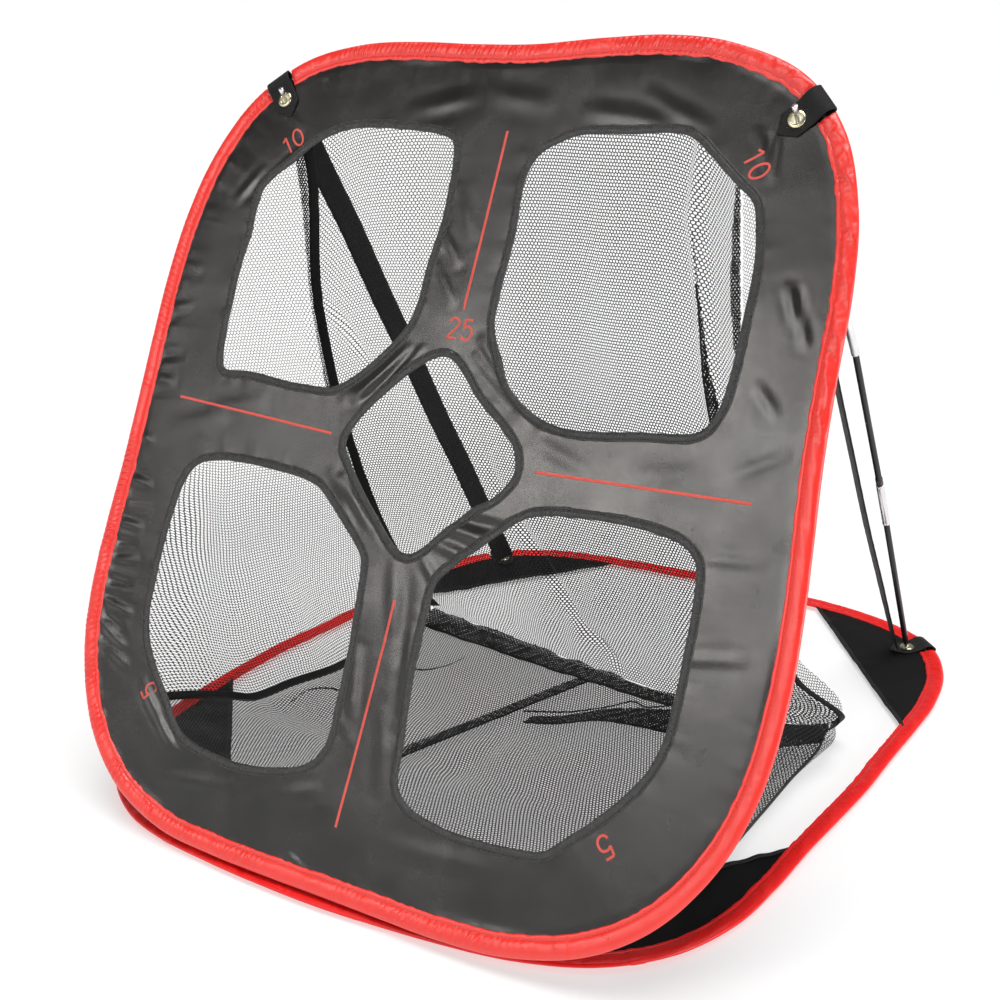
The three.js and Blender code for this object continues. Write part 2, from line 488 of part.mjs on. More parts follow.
// floor of the bag, its hem band and its seam tape
const floorAt = (a, t) => {
  const r = HEM.getPointAt(a);
  const f = V3(-192 + 384 * a, 34 + 16 * Math.abs(2 * a - 1) ** 3, 8);
  const p = f.clone().lerp(V3(r.x, r.y - 2, 7.6), t);
  p.x += (a - 0.5) * 110 * Math.sin(Math.PI * Math.min(t * 1.1, 1));
  return p;
};
make('floor_net', sheet(gridOf(6, 6, floorAt), NET_T), mesh(), root);
{
  const f = (a, t) => HEM.getPointAt(0.01 + 0.98 * t).add(V3(0, -20 * a, -2.6));
  make('rear_hem_band', sheet(gridOf(1, 12, f), 1.2), webbing(), root);
  const g = (a, t) => V3(-86 + 14 * a, 205, 9.2).lerp(V3(-26 + 14 * a, 432, 9.2), t);
  make('floor_seam_tape', sheet(gridOf(1, 4, g), 0.8), webbing(), root);
}

// ---------------------------------------------------------------- placement
root.updateMatrixWorld(true);
const box = new THREE.Box3().setFromObject(root);
const centre = box.getCenter(new THREE.Vector3());
root.position.set(-centre.x, -centre.y, -box.min.z);
root.updateMatrixWorld(true);

export default root;
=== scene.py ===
import bpy
import math
import numpy as np
from mathutils import Matrix, Vector
from mathutils.geometry import delaunay_2d_cdt


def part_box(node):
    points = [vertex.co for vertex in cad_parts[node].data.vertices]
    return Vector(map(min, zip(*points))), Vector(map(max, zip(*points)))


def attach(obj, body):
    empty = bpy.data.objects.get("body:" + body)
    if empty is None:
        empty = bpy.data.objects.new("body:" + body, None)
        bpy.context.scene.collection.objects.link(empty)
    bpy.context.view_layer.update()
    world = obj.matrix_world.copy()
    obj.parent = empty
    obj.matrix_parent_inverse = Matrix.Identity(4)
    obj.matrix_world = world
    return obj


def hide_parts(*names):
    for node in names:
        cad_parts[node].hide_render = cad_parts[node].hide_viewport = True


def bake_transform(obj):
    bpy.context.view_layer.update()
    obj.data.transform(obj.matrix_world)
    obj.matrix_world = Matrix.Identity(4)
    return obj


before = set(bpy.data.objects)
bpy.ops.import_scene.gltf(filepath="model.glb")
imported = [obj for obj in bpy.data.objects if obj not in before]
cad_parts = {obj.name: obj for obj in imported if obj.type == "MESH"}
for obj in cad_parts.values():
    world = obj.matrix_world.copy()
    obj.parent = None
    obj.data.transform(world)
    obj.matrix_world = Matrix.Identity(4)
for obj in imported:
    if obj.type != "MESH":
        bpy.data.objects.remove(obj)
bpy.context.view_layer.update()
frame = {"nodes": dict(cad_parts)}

# Golf chipping net. Shapes are worked out in millimetres with the front seam at
# y = 0, as in the CAD, and put into the row frame by row().
OFFSET = np.array([-2.4378204, -372.2307658, 0.0])
TILT = math.radians(59.73)
BASE_Z, SEAM_Z = 5.0, 19.6
E2 = np.array([0.0, math.cos(TILT), math.sin(TILT)])
FRONT = np.array([0.0, -math.sin(TILT), math.cos(TILT)])
GRX, GRV, GRY = 262.5, 685.0, 678.0
TAB_W = 25.0


def row(p):
    return (np.asarray(p, float) + OFFSET) * 0.001


# ------------------------------------------------------------------ camera
def make_camera():
    unit = 387.0
    az, el, roll = (math.radians(v) for v in (34.2491546, 21.0903169, -2.59933644))
    target = np.array([0.241899045, 0.408943577, 0.822825610])
    fwd = -np.array([math.sin(az) * math.cos(el), -math.cos(az) * math.cos(el), math.sin(el)])
    right = np.cross(fwd, [0, 0, 1])
    right /= np.linalg.norm(right)
    up = np.cross(right, fwd)
    r2 = right * math.cos(roll) + up * math.sin(roll)
    u2 = -right * math.sin(roll) + up * math.cos(roll)
    at = (target - fwd * 3.29109016) * unit + np.array([0, 0, BASE_Z])
    cam = bpy.data.objects.new("camera", bpy.data.cameras.new("camera"))
    bpy.context.scene.collection.objects.link(cam)
    m = np.eye(4)
    m[:3, 0], m[:3, 1], m[:3, 2], m[:3, 3] = r2, u2, -fwd, row(at)
    cam.matrix_world = Matrix(m.tolist())
    cam.data.sensor_width = 36.0
    cam.data.lens = 1564.8553 * 36 / 1000
    cam.data.shift_x, cam.data.shift_y = -0.002262, 0.004072
    cam.data.clip_start, cam.data.clip_end = 0.01, 100
    bpy.context.scene.camera = cam


make_camera()


# ------------------------------------------------------------------ helpers
def noise1(s, period, scale, seed):
    """Smooth noise from -1 to 1 along s, which wraps at period; scale is the bump's length."""
    n = max(4, int(round(period / scale)))
    r = np.random.RandomState(seed).uniform(-1, 1, n)
    x = (np.asarray(s, float) / period * n) % n
    i = np.floor(x).astype(int) % n
    f = x - np.floor(x)
    f = f * f * (3 - 2 * f)
    return r[i] * (1 - f) + r[(i + 1) % n] * f


def noise2(x, y, scale, seed):
    n = 64
    r = np.random.RandomState(seed).uniform(-1, 1, (n, n))
    x, y = np.asarray(x, float) / scale, np.asarray(y, float) / scale
    i, j = np.floor(x).astype(int), np.floor(y).astype(int)
    fx, fy = x - i, y - j
    fx, fy = fx * fx * (3 - 2 * fx), fy * fy * (3 - 2 * fy)
    i, j, i1, j1 = i % n, j % n, (i + 1) % n, (j + 1) % n
    return (r[i, j] * (1 - fx) + r[i1, j] * fx) * (1 - fy) + (r[i, j1] * (1 - fx) + r[i1, j1] * fx) * fy


def spline(points, closed, sub=60):
    """Centripetal Catmull-Rom through the points."""
    p = np.asarray(points, float)
    if closed:
        q = np.vstack([p[-1:], p, p[:2]])
    else:
        q = np.vstack([2 * p[:1] - p[1:2], p, 2 * p[-1:] - p[-2:-1]])
    out = []
    t = (np.arange(sub) / sub)[:, None]
    for i in range(1, len(q) - 2):
        p0, p1, p2, p3 = q[i - 1], q[i], q[i + 1], q[i + 2]
        d0, d1, d2 = (max(np.linalg.norm(b - a), 1e-8) ** 0.5 for a, b in ((p0, p1), (p1, p2), (p2, p3)))
        t1 = ((p1 - p0) / d0 - (p2 - p0) / (d0 + d1) + (p2 - p1) / d1) * d1
        t2 = ((p2 - p1) / d1 - (p3 - p1) / (d1 + d2) + (p3 - p2) / d2) * d1
        out.append(p1 + t1 * t + (-3 * p1 + 3 * p2 - 2 * t1 - t2) * t ** 2 + (2 * p1 - 2 * p2 + t1 + t2) * t ** 3)
    out = np.concatenate(out)
    return np.vstack([out, out[:1] if closed else p[-1:]])


class Line:
    """A curve read by the share of its length."""

    def __init__(self, points, closed=False, sub=60):
        self.d = spline(points, closed, sub)
        self.closed = closed
        self.s = np.concatenate([[0], np.cumsum(np.linalg.norm(np.diff(self.d, axis=0), axis=1))])
        self.length = self.s[-1]

    def at(self, f):
        f = np.asarray(f, float)
        f = f % 1.0 if self.closed else np.clip(f, 0, 1)
        return np.stack([np.interp(f * self.length, self.s, self.d[:, k]) for k in range(self.d.shape[1])], -1)

    def tangent(self, f):
        e = 1.5 / self.length
        t = self.at(np.asarray(f) + e) - self.at(np.asarray(f) - e)
        return t / np.maximum(np.linalg.norm(t, axis=-1, keepdims=True), 1e-9)

    def near(self, x, y):
        k = np.hypot(self.d[:, 0] - x, self.d[:, 1] - y).argmin()
        return self.s[k] / self.length


def panel(u, v, w):
    u, v, w = np.broadcast_arrays(np.asarray(u, float), v, w)
    return np.stack([u, 0 * u, 0 * u + SEAM_Z], -1) + v[..., None] * E2 + w[..., None] * FRONT


def ground(x, y, w):
    x, y, w = np.broadcast_arrays(np.asarray(x, float), y, w)
    return np.stack([x, y, w + BASE_Z], -1)


def new_object(name, verts_mm, faces, material, smooth=True):
    me = bpy.data.meshes.new(name)
    if isinstance(faces, np.ndarray):
        me.from_pydata(row(verts_mm), [], faces)
    else:
        me.from_pydata(row(verts_mm).tolist(), [], faces)
    me.validate()
    if smooth:
        me.polygons.foreach_set("use_smooth", np.ones(len(me.polygons), bool))
    me.update()
    o = bpy.data.objects.new(name, me)
    bpy.context.scene.collection.objects.link(o)
    if material is not None:
        me.materials.append(material)
    return o


def grid_faces(n, m, wrap_n=False, wrap_m=False):
    i, j = np.meshgrid(np.arange(n if wrap_n else n - 1), np.arange(m if wrap_m else m - 1), indexing="ij")
    i, j = i.ravel(), j.ravel()
    i1, j1 = (i + 1) % n, (j + 1) % m
    return np.stack([i * m + j, i1 * m + j, i1 * m + j1, i * m + j1], -1)


def tube(name, grid, material, closed=False, caps=True, smooth=True):
    """A swept section: grid[station, point]."""
    n, m = grid.shape[:2]
    f = grid_faces(n, m, closed, True).tolist()
    if caps and not closed:
        f += [list(range(m))[::-1], [(n - 1) * m + k for k in range(m)]]
    return new_object(name, grid.reshape(-1, 3), f, material, smooth)


def slab(name, grid, thick, material, smooth=True):
    """A thin closed sheet over a grid of points."""
    n, m = grid.shape[:2]
    du = np.gradient(grid, axis=0)
    dv = np.gradient(grid, axis=1)
    nn = np.cross(du, dv)
    nn /= np.maximum(np.linalg.norm(nn, axis=-1, keepdims=True), 1e-9)
    a, b = grid + nn * thick / 2, grid - nn * thick / 2
    v = np.concatenate([a.reshape(-1, 3), b.reshape(-1, 3)])
    f = grid_faces(n, m)
    k = n * m
    faces = f.tolist() + (f[:, ::-1] + k).tolist()
    ring = [(i, 0) for i in range(n)] + [(n - 1, j) for j in range(1, m)] + [(i, m - 1) for i in range(n - 2, -1, -1)] + [(0, j) for j in range(m - 2, 0, -1)]
    ids = [i * m + j for i, j in ring]
    for q in range(len(ids)):
        a0, a1 = ids[q], ids[(q + 1) % len(ids)]
        faces.append([a1, a0, a0 + k, a1 + k])
    return new_object(name, v, faces, material, smooth)


def mesh_area(o):
    me = o.data
    a = np.zeros(len(me.polygons))
    me.polygons.foreach_get("area", a)
    return float(a.sum())


def revolve(name, profile, start, end, material, n=28):
    """profile: (radius, distance) pairs from start towards end, millimetres."""
    start, end = np.asarray(start, float), np.asarray(end, float)
    d = (end - start) / np.linalg.norm(end - start)
    x = np.cross(d, [0.3, 0.9, 0.1])
    x /= np.linalg.norm(x)
    y = np.cross(d, x)
    a = np.arange(n) * 2 * math.pi / n
    ring = np.cos(a)[:, None] * x + np.sin(a)[:, None] * y
    p = np.asarray(profile, float)
    g = start + p[:, 1, None, None] * d + p[:, 0, None, None] * ring[None]
    return tube(name, g, material, caps=p[0, 0] > 0.01 or p[-1, 0] > 0.01)


# ------------------------------------------------------------------ materials
def material(name, base, rough, metallic=0.0, sheen=0.0, coat=0.0, spec=0.5):
    m = bpy.data.materials.new(name)
    m.use_nodes = True
    b = m.node_tree.nodes["Principled BSDF"]
    b.inputs["Base Color"].default_value = (*base, 1)
    b.inputs["Roughness"].default_value = rough
    b.inputs["Metallic"].default_value = metallic
    b.inputs["Sheen Weight"].default_value = sheen
    b.inputs["Sheen Roughness"].default_value = 0.4
    b.inputs["Coat Weight"].default_value = coat
    b.inputs["Specular IOR Level"].default_value = spec
    return m, m.node_tree, b


def node(tree, kind, **values):
    n = tree.nodes.new(kind)
    for k, v in values.items():
        if k in n.inputs:
            n.inputs[k].default_value = v
        else:
            setattr(n, k, v)
    return n


def colour_mix(tree, factor, a, b):
    mix = node(tree, "ShaderNodeMix", data_type="RGBA")
    mix.inputs["A"].default_value = (*a, 1)
    mix.inputs["B"].default_value = (*b, 1)
    tree.links.new(factor, mix.inputs["Factor"])
    return mix.outputs["Result"]


def object_space(tree, tilt=0.0, scale=(1, 1, 1)):
    c = node(tree, "ShaderNodeTexCoord")
    m = node(tree, "ShaderNodeMapping")
    m.inputs["Rotation"].default_value = (-tilt, 0, 0)
    m.inputs["Scale"].default_value = scale
    tree.links.new(c.outputs["Object"], m.inputs["Vector"])
    return m.outputs["Vector"]


def math_node(tree, op, a, b=None):
    n = node(tree, "ShaderNodeMath", operation=op)
    for k, v in enumerate((a, b)):
        if v is None:
            continue
        if isinstance(v, (int, float)):
            n.inputs[k].default_value = v
        else:
            tree.links.new(v, n.inputs[k])
    return n.outputs[0]


def ramp(tree, value, lo, hi, a=0.0, b=1.0):
    n = node(tree, "ShaderNodeMapRange")
    n.inputs["From Min"].default_value, n.inputs["From Max"].default_value = lo, hi
    n.inputs["To Min"].default_value, n.inputs["To Max"].default_value = a, b
    tree.links.new(value, n.inputs["Value"])
    return n.outputs["Result"]


def bump(tree, bsdf, height, distance, strength=1.0):
    n = node(tree, "ShaderNodeBump")
    n.inputs["Distance"].default_value = distance
    n.inputs["Strength"].default_value = strength
    tree.links.new(height, n.inputs["Height"])
    tree.links.new(n.outputs["Normal"], bsdf.inputs["Normal"])


def woven(name, base, light, rough, pitch, tilt=0.0, sheen=0.3, depth=0.00012, blotch=0.05, tint=(1, 1, 1), slubs=0.35, spec=0.5):
    """Plain woven cloth: crossed threads, thread-to-thread variation and soft blotches."""
    m, t, b = material(name, base, rough, sheen=sheen, spec=spec)
    b.inputs["Sheen Tint"].default_value = (*tint, 1)
    vec = object_space(t, tilt)
    waves = []
    for axis in ("X", "Y"):
        w = node(t, "ShaderNodeTexWave", wave_type="BANDS", bands_direction=axis, Scale=1.0 / pitch / 2, Distortion=0.6)
        w.inputs["Detail Scale"].default_value = 2.0
        t.links.new(vec, w.inputs["Vector"])
        waves.append(w.outputs["Fac"])
    weave = math_node(t, "MULTIPLY", waves[0], waves[1])
    streak = []
    for sx, sy in ((9, 900), (900, 9)):
        mp = node(t, "ShaderNodeMapping")
        mp.inputs["Scale"].default_value = (sx, sy, 60)
        t.links.new(vec, mp.inputs["Vector"])
        nz = node(t, "ShaderNodeTexNoise", Scale=1.0, Detail=2.0)
        t.links.new(mp.outputs["Vector"], nz.inputs["Vector"])
        streak.append(nz.outputs["Fac"])
    slub = math_node(t, "ADD", streak[0], streak[1])
    large = node(t, "ShaderNodeTexNoise", Scale=1.0 / blotch, Detail=4.0, Roughness=0.6)
    t.links.new(vec, large.inputs["Vector"])
    mixf = math_node(t, "ADD", math_node(t, "MULTIPLY", slub, slubs), math_node(t, "MULTIPLY", large.outputs["Fac"], 0.6))
    f = ramp(t, mixf, 0.35, 1.05)
    t.links.new(colour_mix(t, f, base, light), b.inputs["Base Color"])
    t.links.new(ramp(t, large.outputs["Fac"], 0.3, 0.7, rough - 0.05, rough + 0.07), b.inputs["Roughness"])
    h = math_node(t, "ADD", weave, math_node(t, "MULTIPLY", slub, 0.8))
    bump(t, b, h, depth)
    return m


def tape(name, base, light, rough, pitch, tilt=0.0, sheen=0.2, spec=0.5):
    """Narrow woven tape or webbing: ribs and a fine cross grain."""
    m, t, b = material(name, base, rough, sheen=sheen, spec=spec)
    vec = object_space(t, tilt)
    rot = node(t, "ShaderNodeMapping")
    rot.inputs["Rotation"].default_value = (0.6, 0.3, 0.8)
    t.links.new(vec, rot.inputs["Vector"])
    w1 = node(t, "ShaderNodeTexWave", wave_type="BANDS", bands_direction="X", Scale=1.0 / pitch / 2, Distortion=1.5)
    w2 = node(t, "ShaderNodeTexWave", wave_type="BANDS", bands_direction="Y", Scale=1.0 / pitch / 2, Distortion=1.5)
    for w in (w1, w2):
        t.links.new(rot.outputs["Vector"], w.inputs["Vector"])
    nz = node(t, "ShaderNodeTexNoise", Scale=120.0, Detail=4.0)
    t.links.new(vec, nz.inputs["Vector"])
    h = math_node(t, "ADD", math_node(t, "MULTIPLY", w1.outputs["Fac"], w2.outputs["Fac"]), nz.outputs["Fac"])
    t.links.new(colour_mix(t, ramp(t, h, 0.4, 1.5), base, light), b.inputs["Base Color"])
    t.links.new(ramp(t, nz.outputs["Fac"], 0.3, 0.7, rough - 0.06, rough + 0.08), b.inputs["Roughness"])
    bump(t, b, h, 0.00015)
    return m


def metal(name, base, rough, scratch=(1, 1, 1), amount=0.12):
    m, t, b = material(name, base, rough, metallic=1.0)
    vec = object_space(t)
    mp = node(t, "ShaderNodeMapping")
    mp.inputs["Scale"].default_value = scratch
    t.links.new(vec, mp.inputs["Vector"])
    nz = node(t, "ShaderNodeTexNoise", Scale=90.0, Detail=5.0)
    t.links.new(mp.outputs["Vector"], nz.inputs["Vector"])
    t.links.new(ramp(t, nz.outputs["Fac"], 0.3, 0.7, max(rough - amount, 0.03), rough + amount), b.inputs["Roughness"])
    t.links.new(colour_mix(t, ramp(t, nz.outputs["Fac"], 0.35, 0.65), tuple(c * 0.86 for c in base), base), b.inputs["Base Color"])
    bump(t, b, nz.outputs["Fac"], 0.00004)
    return m


PANEL_CLOTH = woven("panel_cloth_satin", (0.0055, 0.0050, 0.0045), (0.0135, 0.0124, 0.0114), 0.225, 0.00055, TILT, sheen=0.02, spec=0.85, depth=0.000016)
BASE_CLOTH = woven("gusset_cloth", (0.0045, 0.0044, 0.0046), (0.010, 0.0097, 0.010), 0.60, 0.00055, 0.0, sheen=0.0, spec=0.12)
RED_PANEL = woven("sleeve_red_panel", (0.86, 0.018, 0.010), (0.95, 0.040, 0.024), 0.30, 0.0005, TILT, sheen=0.03, tint=(1, 0.45, 0.35), slubs=0.2, spec=0.9, depth=0.00002)
# ground hoop sleeves: the same red cloth as the panel sleeves, made a darker, deeper red as painted shade
RED_GROUND_WITH_PAINTED_SHADE = woven("sleeve_red_ground_with_painted_shade", (0.80, 0.006, 0.006), (0.90, 0.016, 0.012), 0.36, 0.0005, 0.0, sheen=0.04, tint=(1, 0.4, 0.3), slubs=0.2, spec=0.45, depth=0.00002)
BINDING = tape("binding_tape", (0.0045, 0.0041, 0.0038), (0.013, 0.012, 0.011), 0.27, 0.0006, TILT, sheen=0.05, spec=0.85)
WEBBING = tape("webbing", (0.0045, 0.0045, 0.0045), (0.013, 0.0127, 0.0125), 0.66, 0.0012, sheen=0.03, spec=0.3)
THREAD = tape("net_thread", (0.004, 0.004, 0.004), (0.012, 0.012, 0.012), 0.55, 0.0008, sheen=0.0, spec=0.3)
SEAM = tape("seam_tape_black", (0.005, 0.005, 0.005), (0.014, 0.014, 0.014), 0.6, 0.0008, sheen=0.02, spec=0.3)
INK = woven("printed_red", (0.72, 0.075, 0.050), (0.88, 0.13, 0.095), 0.50, 0.00055, TILT, sheen=0.1)
ROD = woven("rod_black", (0.010, 0.010, 0.011), (0.020, 0.020, 0.021), 0.30, 0.004, 0.0, sheen=0.0, depth=0.00003)
FERRULE = metal("ferrule_bright", (0.86, 0.87, 0.88), 0.30, (1, 1, 0.1))
CHROME = metal("pin_plated", (0.93, 0.93, 0.94), 0.24, (1, 1, 0.3), 0.08)
BRASS = metal("grommet_brass", (0.80, 0.74, 0.50), 0.24, (1, 1, 1), 0.10)
WIRE = metal("spring_wire", (0.5, 0.5, 0.5), 0.35, (1, 1, 0.1))

for nm in ("panel_hoop_wire", "panel_wire_crimp", "base_hoop_wire", "base_wire_crimp"):
    o = frame["nodes"][nm] if isinstance(frame["nodes"], dict) else bpy.data.objects[nm]
    o.material_slots[0].material = WIRE

# ------------------------------------------------------------------ outlines
PANEL_HOOP = [[0, 0], [62.8, 0.9], [125.5, 1.5], [187.9, 8.1], [247.4, 27.6], [297.9, 64.3],
    [332.8, 116.1], [350.6, 176.2], [355.2, 238.7], [351.8, 301.3], [344.8, 363.7], [337.7, 426.1],
    [333.8, 488.7], [330.5, 551.4], [320.5, 614.0], [297.0, 672.5], [252.5, 717.5], [193.0, 740.0],
    [130.2, 746.0], [67.6, 742.6], [5.1, 737.0], [-57.7, 735.6], [-120.4, 736.8], [-183.5, 733.5],
    [-245.5, 716.5], [-295.5, 678.5], [-326.5, 623.5], [-341.1, 562.0], [-345.2, 499.4], [-343.9, 436.7],
    [-341.1, 374.0], [-339.3, 311.2], [-339.0, 248.4], [-335.6, 185.8], [-322.0, 124.6], [-292.3, 69.6],
    [-245.5, 28.2], [-187.6, 6.0], [-125.5, 0.8], [-62.7, 0.2]]
BASE_HOOP = [[0, -0.9], [61.2, 2.7], [122.1, 9.5], [182.2, 21.3], [238.3, 45.3], [282.1, 87.6],
    [305.9, 143.7], [313.3, 204.4], [314.6, 265.7], [318.5, 326.9], [322.0, 388.0], [321.7, 449.3],
    [322.4, 510.6], [321.1, 571.9], [309.5, 632.5], [279.5, 686.0], [227.5, 719.5], [167.1, 735.0],
    [106.2, 741.4], [45.0, 745.0], [-16.2, 745.7], [-62.0, 744.4], [-108.0, 741.4], [-167.1, 735.0],
    [-227.5, 719.5], [-279.5, 686.0], [-309.5, 632.5], [-321.4, 571.9], [-326.8, 510.0], [-332.5, 460.0],
    [-338.3, 410.7], [-347.6, 350.1], [-350.1, 288.9], [-349.3, 227.6], [-344.2, 166.6], [-327.7, 107.7],
    [-293.3, 57.5], [-242.4, 24.0], [-183.5, 7.6], [-122.5, 1.4], [-61.3, -0.9]]
OPENINGS = {
    "binding_upper_left": [[-174.5, 659.4], [-116.2, 661.8], [-60.7, 654.8], [-55.3, 647.5], [-48.0, 586.6],
        [-51.0, 542.0], [-53.3, 492.0], [-65.7, 467.7], [-114.2, 421.0], [-151.1, 416.2], [-220.1, 419.9],
        [-251.6, 419.9], [-258.6, 436.7], [-263.4, 480.7], [-264.9, 515.3], [-262.8, 550.4], [-264.0, 580.3],
        [-259.9, 598.6], [-232.5, 625.1], [-208.7, 646.2]],
    "binding_upper_right": [[36.9, 647.4], [48.8, 655.2], [66.4, 663.2], [114.7, 667.0], [172.0, 667.8],
        [196.9, 651.1], [224.4, 629.1], [241.6, 615.3], [249.7, 592.8], [255.8, 558.2], [256.7, 516.8],
        [256.8, 475.6], [253.1, 446.2], [242.8, 429.4], [192.1, 421.2], [129.1, 414.5], [96.8, 420.1],
        [62.8, 442.3], [45.3, 468.1], [33.2, 492.3], [30.7, 525.9], [31.0, 571.5], [27.9, 628.9]],
    "binding_centre": [[-8.9, 458.9], [36.5, 424.7], [69.5, 401.5], [82.1, 388.7], [87.5, 369.9],
        [73.2, 346.9], [57.2, 336.5], [35.1, 314.4], [2.9, 285.9], [-39.0, 313.7], [-77.4, 351.6],
        [-90.5, 371.6], [-63.5, 417.5]],
    "binding_lower_left": [[-252.9, 324.0], [-229.2, 332.5], [-167.0, 334.2], [-109.4, 327.2], [-84.6, 310.3],
        [-54.5, 285.9], [-42.9, 273.7], [-37.3, 245.4], [-32.7, 199.6], [-31.0, 152.6], [-31.5, 109.6],
        [-45.8, 92.0], [-79.1, 80.0], [-113.3, 74.7], [-156.9, 76.2], [-190.5, 84.4], [-215.5, 109.1],
        [-253.7, 151.5], [-264.6, 177.9], [-268.4, 221.4], [-268.4, 268.9], [-263.0, 308.7]],
    "binding_lower_right": [[102.6, 330.7], [115.1, 338.0], [161.5, 344.5], [221.2, 344.5], [249.6, 339.2],
        [264.5, 327.8], [270.0, 303.0], [272.4, 267.5], [273.5, 220.4], [272.7, 190.9], [264.6, 163.4],
        [242.8, 131.2], [218.1, 105.0], [195.7, 84.5], [178.5, 80.4], [148.3, 77.4], [103.8, 77.1],
        [65.1, 85.4], [50.9, 98.4], [47.1, 127.7], [40.8, 182.2], [38.3, 234.8], [39.8, 267.7],
        [56.2, 288.1], [82.2, 312.6]],
}
panel_line = Line(PANEL_HOOP, True)
base_line = Line(BASE_HOOP, True)


def counter_clockwise(p):
    area = 0.5 * np.sum(p[:, 0] * np.roll(p[:, 1], -1) - np.roll(p[:, 0], -1) * p[:, 1])
    return p if area > 0 else p[::-1]


opening_lines = {}
for nm, pts in OPENINGS.items():
    opening_lines[nm] = Line(counter_clockwise(np.array(pts)), True, 30)


# ------------------------------------------------------------------ cloth relief
# folds seen in the cloth: start and end on the panel, height and half width in mm
FOLDS = [
    (-92, 410, -50, 462, 2.4, 4.0), (-82, 410, -42, 457, -2.2, 3.5), (-72, 420, -34, 464, 2.0, 3.5),
    (-104, 408, -66, 440, 1.6, 5.0),
    (24, 478, 80, 424, 2.2, 4.5), (36, 476, 98, 416, -2.2, 4.0), (22, 464, 66, 430, 1.8, 3.5), (50, 452, 96, 424, 1.4, 4.0),
    (-84, 340, -46, 304, 2.2, 4.0), (-74, 346, -22, 294, -2.0, 4.0), (-58, 334, -17, 304, 1.8, 3.5), (-96, 342, -70, 318, 1.6, 5),
    (34, 316, 92, 309, 2.2, 4.5), (40, 325, 98, 324, -2.0, 4.5), (30, 300, 70, 292, 1.8, 4.0), (18, 288, 44, 262, 1.5, 4),
    (74, 686, 152, 679, 1.6, 7.0), (-106, 682, -50, 694, 1.4, 7.0), (130, 700, 186, 676, 1.3, 6.0), (-30, 700, 28, 690, 1.0, 8.0),
    (288, 550, 312, 508, 1.8, 4.0), (298, 546, 304, 516, -1.4, 3.5), (282, 470, 300, 452, 1.2, 4.0),
    (-238, 106, -203, 76, 2.4, 4.0), (-222, 94, -189, 73, -2.0, 3.5), (-250, 118, -228, 92, 1.6, 4.0),
    (28, 222, 38, 160, 2.0, 5.0), (44, 218, 56, 150, -1.6, 5.0), (-22, 194, -12, 136, 1.8, 5.0), (-8, 280, 6, 226, 1.4, 6.0),
    (12, 270, 22, 200, -1.2, 6.0), (20, 150, 34, 92, 1.2, 6.0),
    (-40, 14, -16, 4, 2.0, 3.0), (-43, 570, -20, 544, 1.6, 4.0), (-39, 538, -15, 508, 1.4, 4.0), (-30, 600, -12, 570, 1.0, 5.0),
    (-266, 594, -228, 638, 1.4, 4.0), (-290, 584, -270, 614, 1.3, 4.0),
    (-338, 257, -304, 255, 2.2, 3.5), (-332, 219, -299, 224, 2.2, 3.5), (-328, 180, -290, 175, 2.4, 3.5), (-320, 157, -286, 143, 2.4, 3.5),
    (-301, 137, -275, 127, 1.8, 3.5), (-334, 238, -306, 240, -1.8, 3.5), (-330, 200, -298, 200, -1.8, 3.5), (-325, 168, -292, 160, -2.0, 3.0),
    (-338, 300, -306, 296, 1.6, 3.5), (-340, 400, -312, 398, 1.6, 4.0), (-340, 420, -310, 424, -1.3, 4.0), (-342, 470, -316, 474, 1.2, 4.0),
    (-344, 345, -318, 338, 1.4, 4.0), (-343, 516, -318, 510, 1.2, 4.0),
    (250, 672, 254, 640, 1.2, 3.0), (242, 670, 243, 640, -1.2, 3.0), (232, 674, 252, 636, 1.0, 4.0), (-254, 676, -236, 656, 1.4, 4.0),
    (205, 105, 237, 128, 0.8, 5.0), (270, 254, 320, 263, 0.9, 4.0), (267, 332, 318, 337, 0.8, 4.0), (-40, 150, -6, 122, 0.9, 5.0),
    (280, 400, 316, 420, 0.9, 5.0), (190, 384, 250, 396, 1.0, 8.0), (-250, 380, -200, 392, 1.0, 7.0), (-290, 360, -240, 372, 0.9, 7.0),
    (-200, 40, -120, 52, 0.9, 6.0), (60, 50, 150, 58, 0.8, 7.0), (-60, 60, -30, 74, 0.8, 5.0), (100, 400, 150, 384, 1.2, 6.0),
]


def segment_distance(u, v, a, b):
    d = np.array(b, float) - np.array(a, float)
    t = ((u - a[0]) * d[0] + (v - a[1]) * d[1]) / (d @ d)
    tc = np.clip(t, 0, 1)
    return np.hypot(u - a[0] - tc * d[0], v - a[1] - tc * d[1]), tc


def loop_field(u, v, line, step=4.0):
    """Distance to a loop and the place along it, for many points."""
    n = int(line.length / step)
    f = np.arange(n) / n
    p = line.at(f)
    best, where = np.full(u.shape, 1e9), np.zeros(u.shape)
    for k in range(0, u.size, 4000):
        s = slice(k, k + 4000)
        d = np.hypot(u.flat[s][:, None] - p[None, :, 0], v.flat[s][:, None] - p[None, :, 1])
        j = d.argmin(1)
        best.flat[s], where.flat[s] = d[np.arange(len(j)), j], f[j] * line.length
    return best, where


